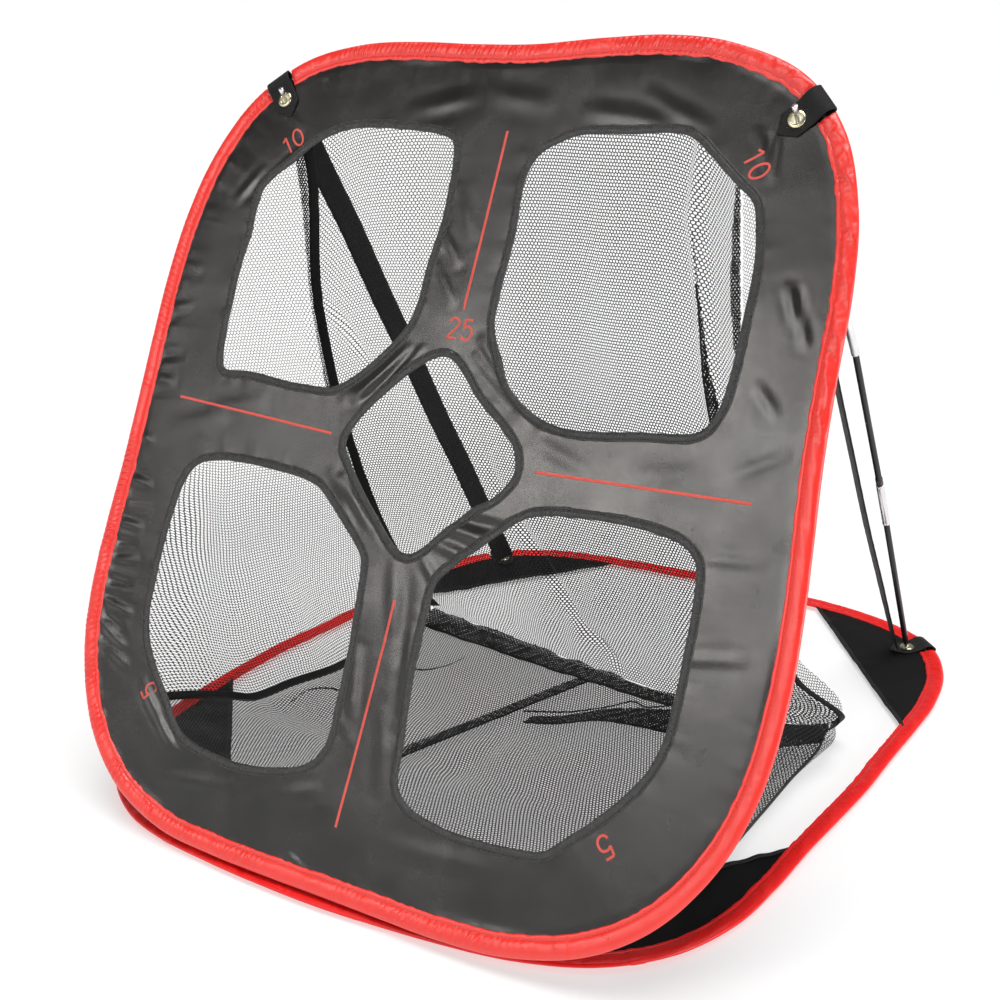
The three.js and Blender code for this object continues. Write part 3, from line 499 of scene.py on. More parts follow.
def relief(u, v, fine=True):
    """Height of the panel cloth over its plane, in mm, towards the front."""
    u, v = np.asarray(u, float), np.asarray(v, float)
    h = 0.75 * noise2(u + 400, v + 40, 95, 3) + 0.38 * noise2(u * 0.8 + v * 0.6, v * 0.8 - u * 0.6 + 500, 48, 4)
    h = h + 0.035 * noise2(u + 900, v * 1.4 + 900, 15, 5) + 0.02 * noise2(u * 1.5 + 300, v + 100, 8.5, 6)
    for a0, a1, b0, b1, amp, wid in FOLDS:
        near = (u > min(a0, b0) - 4 * wid) & (u < max(a0, b0) + 4 * wid) & (v > min(a1, b1) - 4 * wid) & (v < max(a1, b1) + 4 * wid)
        if not near.any():
            continue
        d, t = segment_distance(u[near], v[near], (a0, a1), (b0, b1))
        taper = np.sin(np.pi * np.clip(0.08 + 0.84 * t, 0, 1)) ** 0.7
        prof = np.exp(-((d / wid) ** 2)) - 0.35 * np.exp(-(((d - 1.9 * wid) / wid) ** 2))
        h[near] += 0.5 * amp * taper * prof
    if fine:
        d, s = loop_field(u, v, panel_line)
        edge = np.exp(-np.maximum(d - 8, 0) / 15.0)
        left = np.clip((-u - 120) / 160, 0, 1)
        low = np.clip((240 - v) / 200, 0, 1)
        upleft = np.exp(-(((u + 290) / 70) ** 2 + ((v - 640) / 90) ** 2))
        topc = np.clip((v - 660) / 40, 0, 1)
        amp = 0.10 + 0.55 * left * np.clip((560 - v) / 200, 0.25, 1) + 0.10 * low + 0.45 * upleft + 0.15 * topc
        g1, g2 = noise1(s, panel_line.length, 11, 11), noise1(s, panel_line.length, 6.5, 12)
        h += edge * amp * (np.sign(g1) * np.abs(g1) ** 1.4 * 1.2 + 0.5 * g2)
        # a few longer creases that start at the seam
        g3 = noise1(s, panel_line.length, 8, 13)
        h += 1.5 * amp * np.exp(-np.maximum(d - 8, 0) / 26.0) * np.clip(g3 - 0.55, 0, 1)
        for k, (nm, line) in enumerate(opening_lines.items()):
            near = (u > line.d[:, 0].min() - 45) & (u < line.d[:, 0].max() + 45) & (v > line.d[:, 1].min() - 45) & (v < line.d[:, 1].max() + 45)
            if not near.any():
                continue
            d, s = loop_field(u[near], v[near], line)
            e = np.exp(-np.maximum(d - 7, 0) / 9.0)
            h[near] += e * (0.22 * noise1(s, line.length, 12, 30 + k) + 0.12 * noise1(s, line.length, 6, 40 + k))
    return h


def smooth_relief(u, v):
    return relief(u, v, False)


# ------------------------------------------------------------------ flat cloth shapes
def inside(points, loop):
    x, y = points[:, 0], points[:, 1]
    res = np.zeros(len(points), bool)
    a, b = loop, np.roll(loop, -1, axis=0)
    for (x0, y0), (x1, y1) in zip(a, b):
        if y0 == y1:
            continue
        hit = ((y0 > y) != (y1 > y)) & (x < (x1 - x0) * (y - y0) / (y1 - y0) + x0)
        res ^= hit
    return res


def resample(loop, step):
    closed = np.vstack([loop, loop[:1]])
    s = np.concatenate([[0], np.cumsum(np.linalg.norm(np.diff(closed, axis=0), axis=1))])
    n = max(8, int(round(s[-1] / step)))
    f = np.arange(n) / n * s[-1]
    return np.stack([np.interp(f, s, closed[:, 0]), np.interp(f, s, closed[:, 1])], -1)


def loop_gap(points, loop):
    d = np.full(len(points), 1e9)
    for k in range(0, len(points), 4000):
        q = points[k:k + 4000]
        d[k:k + 4000] = np.hypot(q[:, None, 0] - loop[None, :, 0], q[:, None, 1] - loop[None, :, 1]).min(1)
    return d


def cut_shape(outline, holes, spacing):
    """Triangles over a flat shape with holes, evenly spaced."""
    loops = [resample(np.asarray(l, float), spacing * (1 if k == 0 else 0.8)) for k, l in enumerate([outline, *holes])]
    for k, h in enumerate(holes):
        if len(h) < 40:
            loops[k + 1] = np.asarray(h, float)
    lo, hi = loops[0].min(0), loops[0].max(0)
    x, y = np.meshgrid(np.arange(lo[0], hi[0], spacing), np.arange(lo[1], hi[1], spacing * 0.866))
    x[1::2] += spacing / 2
    p = np.stack([x.ravel(), y.ravel()], -1)
    ok = inside(p, loops[0]) & (loop_gap(p, loops[0]) > 0.55 * spacing)
    p = p[ok]
    for h in loops[1:]:
        p = p[~inside(p, h)]
        p = p[loop_gap(p, h) > 0.55 * spacing]
    pts, edges = [p], []
    base = len(p)
    for l in loops:
        n = len(l)
        pts.append(l)
        edges += [(base + i, base + (i + 1) % n) for i in range(n)]
        base += n
    pts = np.concatenate(pts)
    v, _, f, _, _, _ = delaunay_2d_cdt([Vector(q) for q in pts.tolist()], edges, [], 0, 1e-5)
    v = np.array([(q[0], q[1]) for q in v])
    f = np.array([t for t in f if len(t) == 3])
    c = v[f].mean(1)
    ok = inside(c, loops[0])
    for h in loops[1:]:
        ok &= ~inside(c, h)
    f = f[ok]
    area = (v[f[:, 1], 0] - v[f[:, 0], 0]) * (v[f[:, 2], 1] - v[f[:, 0], 1]) - (v[f[:, 2], 0] - v[f[:, 0], 0]) * (v[f[:, 1], 1] - v[f[:, 0], 1])
    f[area < 0] = f[area < 0][:, ::-1]
    used = np.unique(f)
    back = np.full(len(v), -1)
    back[used] = np.arange(len(used))
    return v[used], back[f]


def thicken(name, p, tris, thick, mat):
    """Two faces over the triangles, joined round every edge."""
    n = np.zeros_like(p)
    fn = np.cross(p[tris[:, 1]] - p[tris[:, 0]], p[tris[:, 2]] - p[tris[:, 0]])
    for k in range(3):
        np.add.at(n, tris[:, k], fn)
    n /= np.maximum(np.linalg.norm(n, axis=1, keepdims=True), 1e-12)
    e = np.concatenate([tris[:, [0, 1]], tris[:, [1, 2]], tris[:, [2, 0]]])
    key = np.sort(e, axis=1)
    _, idx, cnt = np.unique(key, axis=0, return_index=True, return_counts=True)
    rim = e[idx[cnt == 1]]
    k = len(p)
    faces = tris.tolist() + (tris[:, ::-1] + k).tolist() + np.stack([rim[:, 1], rim[:, 0], rim[:, 0] + k, rim[:, 1] + k], -1).tolist()
    return new_object(name, np.concatenate([p + n * thick / 2, p - n * thick / 2]), faces, mat)


def circle(x, y, r, n=30):
    a = np.arange(n) * 2 * math.pi / n
    return np.stack([x + r * np.cos(a), y + r * np.sin(a)], -1)


def offset_points(line, n, d):
    """n points along a closed line, moved d outward."""
    f = np.arange(n) / n
    t = line.tangent(f)
    return line.at(f) + np.stack([t[:, 1], -t[:, 0]], -1) * d


# ------------------------------------------------------------------ target panel cloth
outline = offset_points(panel_line, 900, -3.5)
holes = [offset_points(l, 320, 1.6) for l in opening_lines.values()]
grommet_holes = [circle(GRX, GRV, 5.0), circle(-GRX, GRV, 5.0)]
uv, tris = cut_shape(outline, holes + grommet_holes, 3.0)


def cloth_height(u, v):
    u, v = np.asarray(u, float), np.asarray(v, float)
    h = relief(u.ravel(), v.ravel())
    d, _ = loop_field(u.ravel(), v.ravel(), panel_line, 3.0)
    k = np.clip((d - 7.6) / 6, 0, 1)
    h = h * (0.02 + 0.98 * k * k * (3 - 2 * k))
    for sx in (-1, 1):
        g = np.hypot(u.ravel() - sx * GRX, v.ravel() - GRV)
        h *= 1 - np.exp(-((g / 16) ** 2))
    return h.reshape(u.shape)


hh = cloth_height(uv[:, 0], uv[:, 1])
panel_sheet = thicken("target_cloth", panel(uv[:, 0], uv[:, 1], hh), tris, 0.7, PANEL_CLOTH)
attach(panel_sheet, "panel")
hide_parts("panel_cloth")
mesh_area(panel_sheet) / 2

from mathutils.bvhtree import BVHTree
cloth_tree = BVHTree.FromPolygons([Vector(q) for q in row(panel(uv[:, 0], uv[:, 1], hh + 0.35)).tolist()], tris.tolist())


def on_cloth(u, v, lift):
    u, v = np.asarray(u, float), np.asarray(v, float)
    start = row(panel(u.ravel(), v.ravel(), 25.0))
    out = []
    d = Vector((-FRONT).tolist())
    for q in start.tolist():
        hit = cloth_tree.ray_cast(Vector(q), d, 0.06)
        out.append(25.0 - hit[3] * 1000 if hit[0] is not None else 0.0)
    return panel(u.ravel(), v.ravel(), np.array(out) + lift).reshape(u.shape + (3,))


# ------------------------------------------------------------------ stitches
def stitch_row(name, centre, normal, body, mat, pitch=3.4, length=2.4, radius=0.24, closed=True):
    """A run of thread stitches along points, each a short tapered lozenge."""
    c = np.vstack([centre, centre[:1]]) if closed else centre
    nn = np.vstack([normal, normal[:1]]) if closed else normal
    s = np.concatenate([[0], np.cumsum(np.linalg.norm(np.diff(c, axis=0), axis=1))])
    k = int(s[-1] / pitch)
    mid = (np.arange(k) + 0.5) * pitch

    def at(q):
        return np.stack([np.interp(q, s, c[:, i]) for i in range(3)], -1)
    a, b, m = at(mid - length / 2), at(mid + length / 2), at(mid)
    nrm = np.stack([np.interp(mid, s, nn[:, i]) for i in range(3)], -1)
    t = b - a
    t /= np.maximum(np.linalg.norm(t, axis=1, keepdims=True), 1e-9)
    side = np.cross(t, nrm)
    side /= np.maximum(np.linalg.norm(side, axis=1, keepdims=True), 1e-9)
    up = np.cross(side, t)
    v = [a - up * radius * 0.8]
    for q in (m - t * length * 0.28, m + t * length * 0.28):
        for ang in range(6):
            th = ang * math.pi / 3
            v.append(q + (side * math.cos(th) * 1.15 + up * (math.sin(th) * 0.9 + 0.35)) * radius)
    v.append(b - up * radius * 0.8)
    v = np.stack(v, 1)
    f = []
    for i in range(6):
        j = (i + 1) % 6
        f += [[0, 1 + j, 1 + i], [13, 7 + i, 7 + j]]
    quads = [[1 + i, 1 + (i + 1) % 6, 7 + (i + 1) % 6, 7 + i] for i in range(6)]
    base = (np.arange(k) * 14)[:, None]
    faces = []
    for face in f + quads:
        faces += (base + np.array(face)).tolist()
    o = new_object(name, v.reshape(-1, 3), faces, mat)
    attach(o, body)
    return o


# ------------------------------------------------------------------ red sleeves
FRONT_PROFILE = np.array([(-8.9, 0.0), (-8.75, 0.8), (-8.1, 1.25), (-6.7, 1.35), (-5.6, 1.25), (-5.0, 0.78), (-4.4, 1.3), (-3.2, 1.9),
                          (-1.4, 2.35), (0.8, 2.6), (3.2, 2.7), (5.6, 2.45), (7.4, 1.7), (8.3, 0.9), (8.55, 0.0)])
SECTION = np.vstack([FRONT_PROFILE, (FRONT_PROFILE[1:-1] * [1, -1])[::-1]])


def sleeve(name, line, f0, f1, place, style, mat, node_name, body, seed, follow=None):
    length = (f1 - f0) * line.length
    n = int(length / 1.25)
    f = np.linspace(f0, f1, n)
    c, t = line.at(f), line.tangent(f)
    nrm = np.stack([t[:, 1], -t[:, 0]], -1)
    s = f * line.length
    P = line.length * 2
    o, h = SECTION[:, 0][None], SECTION[:, 1][None]
    side = np.sign(h)
    crown = np.clip(0.35 + 0.65 * (o + 5.0) / 3.0, 0.35, 1) * np.clip((8.6 - o) / 3.5, 0.2, 1)
    fine, coarse, pitch_f, skew, bulge = style(c, s)
    r1 = noise1(s[:, None] + o * skew[:, None] * 1.0 + 40, P, 6.2, seed) + 0.6 * noise1(s[:, None] - o * 0.6 + 11, P, 4.1, seed + 1)
    r2 = noise1(s[:, None] + o * skew[:, None] * 2.2 + 400, P, 14, seed + 2)
    back1 = noise1(s[:, None] - o * 0.5 + 77, P, 6.6, seed + 5)
    rip = np.where(h >= 0, r1, back1 * 0.9)
    sharp = lambda q: np.sign(q) * np.abs(q) ** 0.75
    # puckers: even, close creases that start at the stitch line and lean over the crown
    wave = 2 * math.pi * (s[:, None] + o * skew[:, None]) / 5.6 + 2.6 * noise1(s, P, 21, seed + 8)[:, None]
    gate = np.clip(0.55 + 0.75 * noise1(s, P, 26, seed + 9), 0.1, 1.3)[:, None]
    puck = np.where(h >= 0, np.sin(wave) - 0.35 * np.cos(2 * wave), 0)
    dh = side * (fine[:, None] * (1.35 * puck * gate + 0.8 * sharp(rip)) + coarse[:, None] * sharp(r2) * 1.1) * crown
    inner = np.clip((-o - 6.0) / 2.5, 0, 1)
    sc = 0.55 * noise1(s, P, 4.6, seed + 3) + 0.35 * noise1(s, P, 9.5, seed + 4)
    wander = 0.55 * noise1(s, P, 70, seed + 6)
    oo = o + inner * sc[:, None] * (0.5 + fine[:, None]) + wander[:, None] + np.where(o > 0, o, 0) * bulge[:, None]
    swell = 1 + 0.06 * noise1(s, P, 42, seed + 7)
    hv = h * swell[:, None] + dh * np.minimum(1, np.abs(h) / 1.2)
    wire = np.clip(2.9 - np.maximum(np.abs(oo) - 0.6, 0) * 0.45, 0.62, 2.9)
    hv = np.where(h >= 0.7, np.maximum(hv, np.where(np.abs(oo) < 4.4, np.maximum(wire - 0.7, 0.62), 0.62)), hv)
    hv = np.where(h <= -0.7, np.minimum(hv, -np.where(np.abs(oo) < 4.4, np.maximum(wire - 0.7, 0.62), 0.62)), hv)
    # the joined wire ends make the cloth stand up a little
    lo, hi = (np.array(q) * 1000 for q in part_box("panel_wire_crimp" if body == "panel" else "base_wire_crimp"))
    mid = 0.5 * (lo + hi) - OFFSET
    at = np.array([mid[0], mid[1] * E2[1] + (mid[2] - SEAM_Z) * E2[2]]) if body == "panel" else mid[:2]
    near = np.exp(-((np.linalg.norm(c - at, axis=1) / 17) ** 2))
    hv = hv + side * near[:, None] * 1.5 * np.clip(1.4 - np.abs(oo) / 5.5, 0, 1)
    if follow is not None:
        edge_h = follow(c - nrm * 9.2)
        hv = hv + np.clip((-o - 3.6) / 5, 0, 1) * edge_h[:, None]
    # length joins: a short step where one piece of cloth is lapped over the next
    for at_s in style.joins if hasattr(style, "joins") else ():
        k = np.clip((s - at_s) / 1.2, 0, 1) * np.clip((at_s + 13 - s) / 1.2, 0, 1)
        hv = hv + side * 0.55 * k[:, None] * np.minimum(1, np.abs(h) / 0.8)
    ends = np.minimum(np.clip((s - s[0]) / 2.5, 0, 1), np.clip((s[-1] - s) / 2.5, 0, 1)) ** 0.5
    hv = hv * (0.45 + 0.55 * ends[:, None])
    if body == "base":
        hv = np.maximum(hv, -4.7)
    xy = c[:, None, :] + nrm[:, None, :] * oo[..., None]
    g = place(xy[..., 0], xy[..., 1], hv)
    o_ = tube(name, g, mat)
    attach(o_, body)
    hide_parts(node_name)
    groove = 5
    up = place(0 * s, 0 * s, 1 + 0 * s) - place(0 * s, 0 * s, 0 * s)
    stitch_row(name + "_stitches", g[:, groove] + up * 0.05, up, body, RED_THREAD, 3.6, 2.6, 0.26, closed=False)
    return g


RED_THREAD = tape("red_thread", (0.55, 0.020, 0.016), (0.72, 0.04, 0.03), 0.5, 0.0006)
BLACK_THREAD = tape("black_thread", (0.004, 0.004, 0.004), (0.012, 0.0115, 0.011), 0.6, 0.0006, sheen=0.0, spec=0.3)


def panel_style(c, s):
    u, v = c[:, 0], c[:, 1]
    right = np.clip((u - 150) / 120, 0, 1)
    corner = np.exp(-(((u - 250) / 90) ** 2 + ((v - 700) / 80) ** 2))
    lowleft = np.clip((-u - 120) / 120, 0, 1) * np.clip((420 - v) / 150, 0, 1)
    bottom = np.clip((90 - v) / 60, 0, 1)
    top = np.clip((v - 650) / 60, 0, 1)
    fine = 0.34 + 0.50 * corner + 0.30 * lowleft + 0.22 * top + 0.14 * right
    coarse = 0.30 + 0.85 * right * (1 - corner) * np.clip((v - 60) / 80, 0, 1) + 0.5 * lowleft
    calm = right * np.clip((470 - v) / 140, 0, 1)
    fine, coarse = fine * (1 - 0.62 * calm), coarse * (1 - 0.85 * calm)
    skew = 0.4 + 0.9 * right - 0.8 * lowleft
    return fine, coarse, 6.0, skew, 0.14 * bottom


panel_style.joins = []


def base_style(c, s):
    x, y = c[:, 0], c[:, 1]
    front = np.clip((70 - y) / 60, 0, 1)
    left = np.clip((-x - 120) / 120, 0, 1)
    fine = 0.30 + 0.15 * left + 0.1 * front
    coarse = 0.30 + 0.2 * left
    return fine, coarse, 6.0, 0.8 + 0 * x, 0.02 * front


base_style.joins = []


def edge_relief(p):
    return cloth_height(p[:, 0], p[:, 1])


arcs = {}
for key, line, gx, gy in (("panel", panel_line, GRX, GRV), ("base", base_line, GRX, GRY)):
    uR, uL = line.near(gx, gy), line.near(-gx, gy)
    half = (TAB_W / 2 + 2) / line.length
    arcs[key] = (uR, uL, half)
uR, uL, half = arcs["panel"]
panel_style.joins = [0.955 * panel_line.length, 0.09 * panel_line.length]
sleeve("panel_sleeve_long", panel_line, uL - 1 + half, uR - half, panel, panel_style, RED_PANEL, "panel_sleeve_lower", "panel", 101, edge_relief)
sleeve("panel_sleeve_upper", panel_line, uR + half, uL - half, panel, panel_style, RED_PANEL, "panel_sleeve_top", "panel", 131, edge_relief)
uR, uL, half = arcs["base"]
base_style.joins = [-0.075 * base_line.length, 0.11 * base_line.length]
sleeve("base_sleeve_long", base_line, uL - 1 + half, uR - half, ground, base_style, RED_GROUND_WITH_PAINTED_SHADE, "base_sleeve_front", "base", 161)
sleeve("base_sleeve_back", base_line, uR + half, uL - half, ground, base_style, RED_GROUND_WITH_PAINTED_SHADE, "base_sleeve_rear", "base", 191)

# the tape between the two sleeves at the front
x = np.linspace(-128, 128, 90)
g = np.stack([np.stack([x, q * 2.4 + 0.3 * noise1(x + 200, 400, 30, 5), 10.6 + 0.15 * noise1(x + 200, 400, 9, 6) + 0.1 * q], -1) for q in np.linspace(-1, 1, 4)], 1)
o = slab("front_hinge_tape", g, 0.6, WEBBING)
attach(o, "base")
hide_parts("front_seam_tape")

# ------------------------------------------------------------------ bias binding round the openings
BIND = np.array([(0.0, 0.15), (0.25, 0.95), (1.2, 1.5), (3.4, 1.7), (5.3, 1.5), (6.1, 0.65), (6.9, 1.25), (7.8, 0.95), (8.2, 0.3)])
BIND = np.vstack([BIND, (BIND * [1, -1])[::-1]])
for k, (nm, line) in enumerate(opening_lines.items()):
    n = int(line.length / 1.7)
    f = np.arange(n) / n
    c, t = line.at(f), line.tangent(f)
    nrm = np.stack([t[:, 1], -t[:, 0]], -1)
    s = f * line.length
    e = 6.0 / line.length
    t0, t1 = line.tangent(f - e), line.tangent(f + e)
    turn = np.abs(t0[:, 0] * t1[:, 1] - t0[:, 1] * t1[:, 0]) / 12.0
    turn = np.clip(turn * 22, 0, 1)
    turn = (turn + np.roll(turn, 2) + np.roll(turn, -2) + np.roll(turn, 4) + np.roll(turn, -4)) / 5
    amp = 0.16 + 0.42 * turn
    L = line.length
    oo, hv = BIND[:, 0][None] + 0 * s[:, None], BIND[:, 1][None] + 0 * s[:, None]
    side = np.sign(hv)
    mid = np.clip(oo / 1.5, 0, 1) * np.clip((8.4 - oo) / 1.5, 0.2, 1)
    rip = noise1(s[:, None] + oo * 0.5, L, 4.2, 300 + k) + 0.5 * noise1(s[:, None] - oo * 0.4, L, 2.9, 320 + k)
    hv = hv + side * amp[:, None] * rip * mid
    outer = np.clip((oo - 5.5) / 2.5, 0, 1)
    oo = oo + outer * (0.35 * noise1(s, L, 5, 340 + k) + 0.3 * noise1(s, L, 17, 350 + k))[:, None] + (1 - np.clip(oo / 3, 0, 1)) * 0.3 * noise1(s, L, 13, 360 + k)[:, None]
    # the tape's end is lapped over its start low on each opening
    bottom = s[c[:, 1].argmin()]
    lap = np.clip(((s - bottom + 6) % L) / 0.9, 0, 1) * np.clip((13 - (s - bottom + 6) % L) / 2.5, 0, 1)
    hv = hv + side * 0.45 * lap[:, None] * mid
    xy = c[:, None, :] + nrm[:, None, :] * oo[..., None]
    base_h = cloth_height(xy[:, [0, 4, 8], 0], xy[:, [0, 4, 8], 1])
    q = np.clip(BIND[:, 0], 0, 8.2)
    follow = np.stack([np.interp(q, [0, 5.4, 8.2], r) for r in base_h])
    g = panel(xy[..., 0], xy[..., 1], hv + follow)
    o = tube("edge_" + nm, g, BINDING, closed=True)
    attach(o, "panel")
    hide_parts(nm)
    up = np.broadcast_to(FRONT, g[:, 5].shape)
    stitch_row("stitches_" + nm, g[:, 5] + up * 0.05, up, "panel", BLACK_THREAD, 3.2, 2.3, 0.24)

# ------------------------------------------------------------------ printed lines and numbers
def strip(name, pts, width, closed=False):
    pts = np.asarray(pts, float)
    line = Line(pts, closed, 12) if len(pts) > 2 else None
    if line is not None:
        n = max(12, int(line.length / 1.0))
        f = np.arange(n) / n if closed else np.linspace(0, 1, n)
        c, t = line.at(f), line.tangent(f)
    else:
        L = np.linalg.norm(pts[1] - pts[0])
        n = max(3, int(L / 1.6))
        f = np.linspace(0, 1, n)[:, None]
        c = pts[0] * (1 - f) + pts[1] * f
        t = np.broadcast_to((pts[1] - pts[0]) / L, c.shape)
    nrm = np.stack([t[:, 1], -t[:, 0]], -1)
    q = np.array([-0.5, -0.17, 0.17, 0.5])[None, :, None] * width
    xy = c[:, None] + nrm[:, None] * q
    if closed:
        xy = np.concatenate([xy, xy[:1]])
    g = on_cloth(xy[..., 0], xy[..., 1], 0.02)
    o = slab(name, g, 0.22, INK)
    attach(o, "panel")
    return o


strip("line_top", [(-2.9, 664.7), (-1.7, 502.0)], 2.5)
strip("line_bottom", [(3.1, 245.7), (0.9, 49.2)], 2.5)
strip("line_left", [(-296.5, 385.4), (-108.5, 376.3)], 2.5)
strip("line_right", [(107.1, 374.7), (298.2, 380.2)], 2.5)
GLYPH = {
    "1": [[(-3.4, 5.6), (-1.6, 6.8), (0.9, 9.0)], [(0.9, 9.0), (0.9, -9.0)]],
    "0": [[(5.0 * math.sin(a), 8.9 * math.cos(a)) for a in np.linspace(0, 2 * math.pi, 25)[:-1]]],
    "2": [[(-4.7, 4.6), (-4.0, 7.3), (-1.6, 8.9), (1.4, 8.9), (4.0, 7.4), (4.8, 4.8), (4.0, 2.2), (1.4, -1.2), (-2.0, -4.8), (-4.9, -8.8)],
          [(-4.9, -8.8), (5.0, -8.8)]],
    "5": [[(4.2, 8.9), (-3.3, 8.9)], [(-3.3, 8.9), (-4.1, 0.9)],
          [(-4.1, 0.9), (-1.6, 2.7), (1.4, 2.7), (4.0, 1.2), (5.0, -2.6), (4.2, -6.3), (1.6, -8.7), (-1.6, -8.9), (-4.0, -7.4), (-4.9, -5.0)]],
}


def numeral(name, digit, centre, degrees, size=1.0, width=2.1):
    a = math.radians(degrees)
    r = np.array([[math.cos(a), -math.sin(a)], [math.sin(a), math.cos(a)]])
    for k, stroke in enumerate(GLYPH[digit]):
        p = np.array(stroke) * size @ r.T + centre
        strip(f"{name}_{k}", p, width, closed=digit == "0")


numeral("mark_centre_2", "2", (-7.3, 485.1), 0)
numeral("mark_centre_5", "5", (6.9, 485.1), 0)
numeral("mark_left_1", "1", (-246.0, 639.8), 40)
numeral("mark_left_0", "0", (-236.3, 648.6), 40)
numeral("mark_right_1", "1", (233.0, 653.2), -57)
numeral("mark_right_0", "0", (240.6, 641.8), -57)
numeral("mark_low_left_5", "5", (-240.4, 110.8), 135)
numeral("mark_low_right_5", "5", (247.1, 102.3), -135)

# ------------------------------------------------------------------ ground hoop corner cloth
inner = offset_points(base_line, 900, -3.5)


def clip_loop(loop, a, b):
    side = (b[0] - a[0]) * (loop[:, 1] - a[1]) - (b[1] - a[1]) * (loop[:, 0] - a[0])
    out, cuts = [], []
    n = len(loop)
    for i in range(n):
        j = (i + 1) % n
        if side[i] >= 0:
            out.append(loop[i])
        if (side[i] < 0) != (side[j] < 0):
            q = loop[i] + (loop[j] - loop[i]) * side[i] / (side[i] - side[j])
            out.append(q)
            cuts.append(q)
    return np.array(out), cuts


GUSSETS = {
    "rear_right": ((110, 762), (330, 496), (GRX, GRY)), "rear_left": ((-330, 496), (-110, 762), (-GRX, GRY)),
    "front_right": ((326, 288), (104, -4), None), "front_left": ((-104, -4), (-330, 250), None),
}
for k, (nm, (a, b, hole)) in enumerate(GUSSETS.items()):
    loop, cuts = clip_loop(inner, a, b)
    uvg, trg = cut_shape(loop, [circle(hole[0], hole[1], 5.0)] if hole else [], 3.4)
    q0, q1 = cuts
    d = (q1 - q0) / np.linalg.norm(q1 - q0)
    away = np.abs((uvg - q0) @ np.array([-d[1], d[0]]))
    along = (uvg - q0) @ d
    rim = loop_gap(uvg, offset_points(base_line, 700, 0))
    z = 1.1 * noise2(uvg[:, 0] + 500, uvg[:, 1] + 90, 42, 400 + k) + 0.7 * noise2(uvg[:, 0] * 0.7 + uvg[:, 1] * 0.7 + 300, uvg[:, 1] * 0.3 - uvg[:, 0] * 0.3 + 300, 17, 410 + k)
    z = z + 0.9 * np.exp(-away / 10) * noise1(along + 40, 700, 13, 420 + k) - 1.2 * np.clip((rim - 10) / 60, 0, 1)
    z = z * np.clip((rim - 5) / 9, 0.1, 1)
    if hole:
        z = z * (1 - np.exp(-((np.hypot(uvg[:, 0] - hole[0], uvg[:, 1] - hole[1]) / 18) ** 2)))
    o = thicken("corner_cloth_" + nm, ground(uvg[:, 0], uvg[:, 1], z), trg, 0.7, BASE_CLOTH)
    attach(o, "base")
    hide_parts("base_gusset_" + nm)
    # bound edge across the corner, folded over the cloth
    n = int(np.linalg.norm(q1 - q0) / 2.2)
    f = np.linspace(0.0, 1, n)
    s = f * np.linalg.norm(q1 - q0)
    c = q0[None] + (q1 - q0)[None] * f[:, None]
    side_in = np.array([-d[1], d[0]])
    if (uvg.mean(0) - q0) @ side_in < 0:
        side_in = -side_in
    tree_h = 0.9 * noise1(s + 40, 700, 13, 420 + k)
    prof = np.array([(-0.7, 0), (-0.5, 0.7), (0.5, 1.0), (2.2, 1.0), (3.4, 0.85), (3.9, 0.42)])
    prof = np.vstack([prof, (prof[1:] * [1, -1])[::-1]])
    oo = prof[:, 0][None] + 0.35 * noise1(s + 9, 700, 16, 430 + k)[:, None]
    hv = prof[:, 1][None] + np.sign(prof[:, 1])[None] * 0.22 * noise1(s[:, None] + prof[:, 0][None] * 0.5, 700, 5, 440 + k)
    hv = hv + (tree_h * np.clip(np.minimum(s, s[-1] - s) / 15, 0.1, 1))[:, None]
    xy = c[:, None] + side_in[None, None] * oo[..., None]
    e = tube("corner_edge_" + nm, ground(xy[..., 0], xy[..., 1], hv), SEAM)
    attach(e, "base")
    mesh_area(o) / 2

# ------------------------------------------------------------------ tabs, grommets
def tab(name, node_name, body, line, x, y, place, f_c, sx):
    o2 = line.at(f_c)
    inward = np.array([x, y]) - o2
    reach = np.linalg.norm(inward)
    inward /= reach
    across = np.array([-inward[1], inward[0]])
    # path of the webbing round the hoop: inboard distance, height
    path = np.array([(39, 1.35), (26, 1.4), (14, 1.6), (9, 2.3), (5, 3.7), (1.5, 5.1), (-3, 5.2), (-7, 3.6), (-9.3, 1.5), (-9.9, 0),
                     (-9.3, -1.5), (-7, -3.6), (-3, -5.2), (1.5, -5.1), (5, -3.7), (9, -2.3), (14, -1.6), (26, -1.4), (39, -1.35)])
    pl = Line(path, False, 30)
    L = pl.length
    w = TAB_W / 2
    g_at = pl.s[np.argmin(np.abs(pl.d[:len(pl.d) // 2, 0] - reach))]
    shape = np.array([(0.6, 0), (w, w), (L - w, w), (L - 0.6, 0), (L - w, -w), (w, -w)])
    p2, t2 = cut_shape(shape, [circle(g_at, 0, 5.2, 24), circle(L - g_at, 0, 5.2, 24)], 1.7)
    rh = pl.at(p2[:, 0] / L)
    fray = 0.18 * noise2(p2[:, 0] + 50, p2[:, 1] + 50, 7, 500)
    xy = o2 + inward[None] * rh[:, :1] + across[None] * p2[:, 1:2]
    ob = thicken(name, place(xy[:, 0], xy[:, 1], rh[:, 1] + fray * np.sign(rh[:, 1])), t2, 1.25, WEBBING)
    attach(ob, body)
    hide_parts(node_name)
    # a diamond of stitching round the grommet on the front face
    r = 9.6
    dia = np.array([(reach + r * 1.12, 0), (reach, r), (reach - r * 1.12, 0), (reach, -r)])
    pts = resample(dia, 1.0)
    xy = o2 + inward[None] * pts[:, :1] + across[None] * pts[:, 1:2]
    hz = np.interp(pts[:, 0], path[:10, 0][::-1], path[:10, 1][::-1]) + 0.62
    c3 = place(xy[:, 0], xy[:, 1], hz)
    up = place(0.0, 0.0, 1.0) - place(0.0, 0.0, 0.0)
    stitch_row(name + "_stitches", c3, np.broadcast_to(up, c3.shape), body, GREY_THREAD, 2.5, 1.9, 0.24)


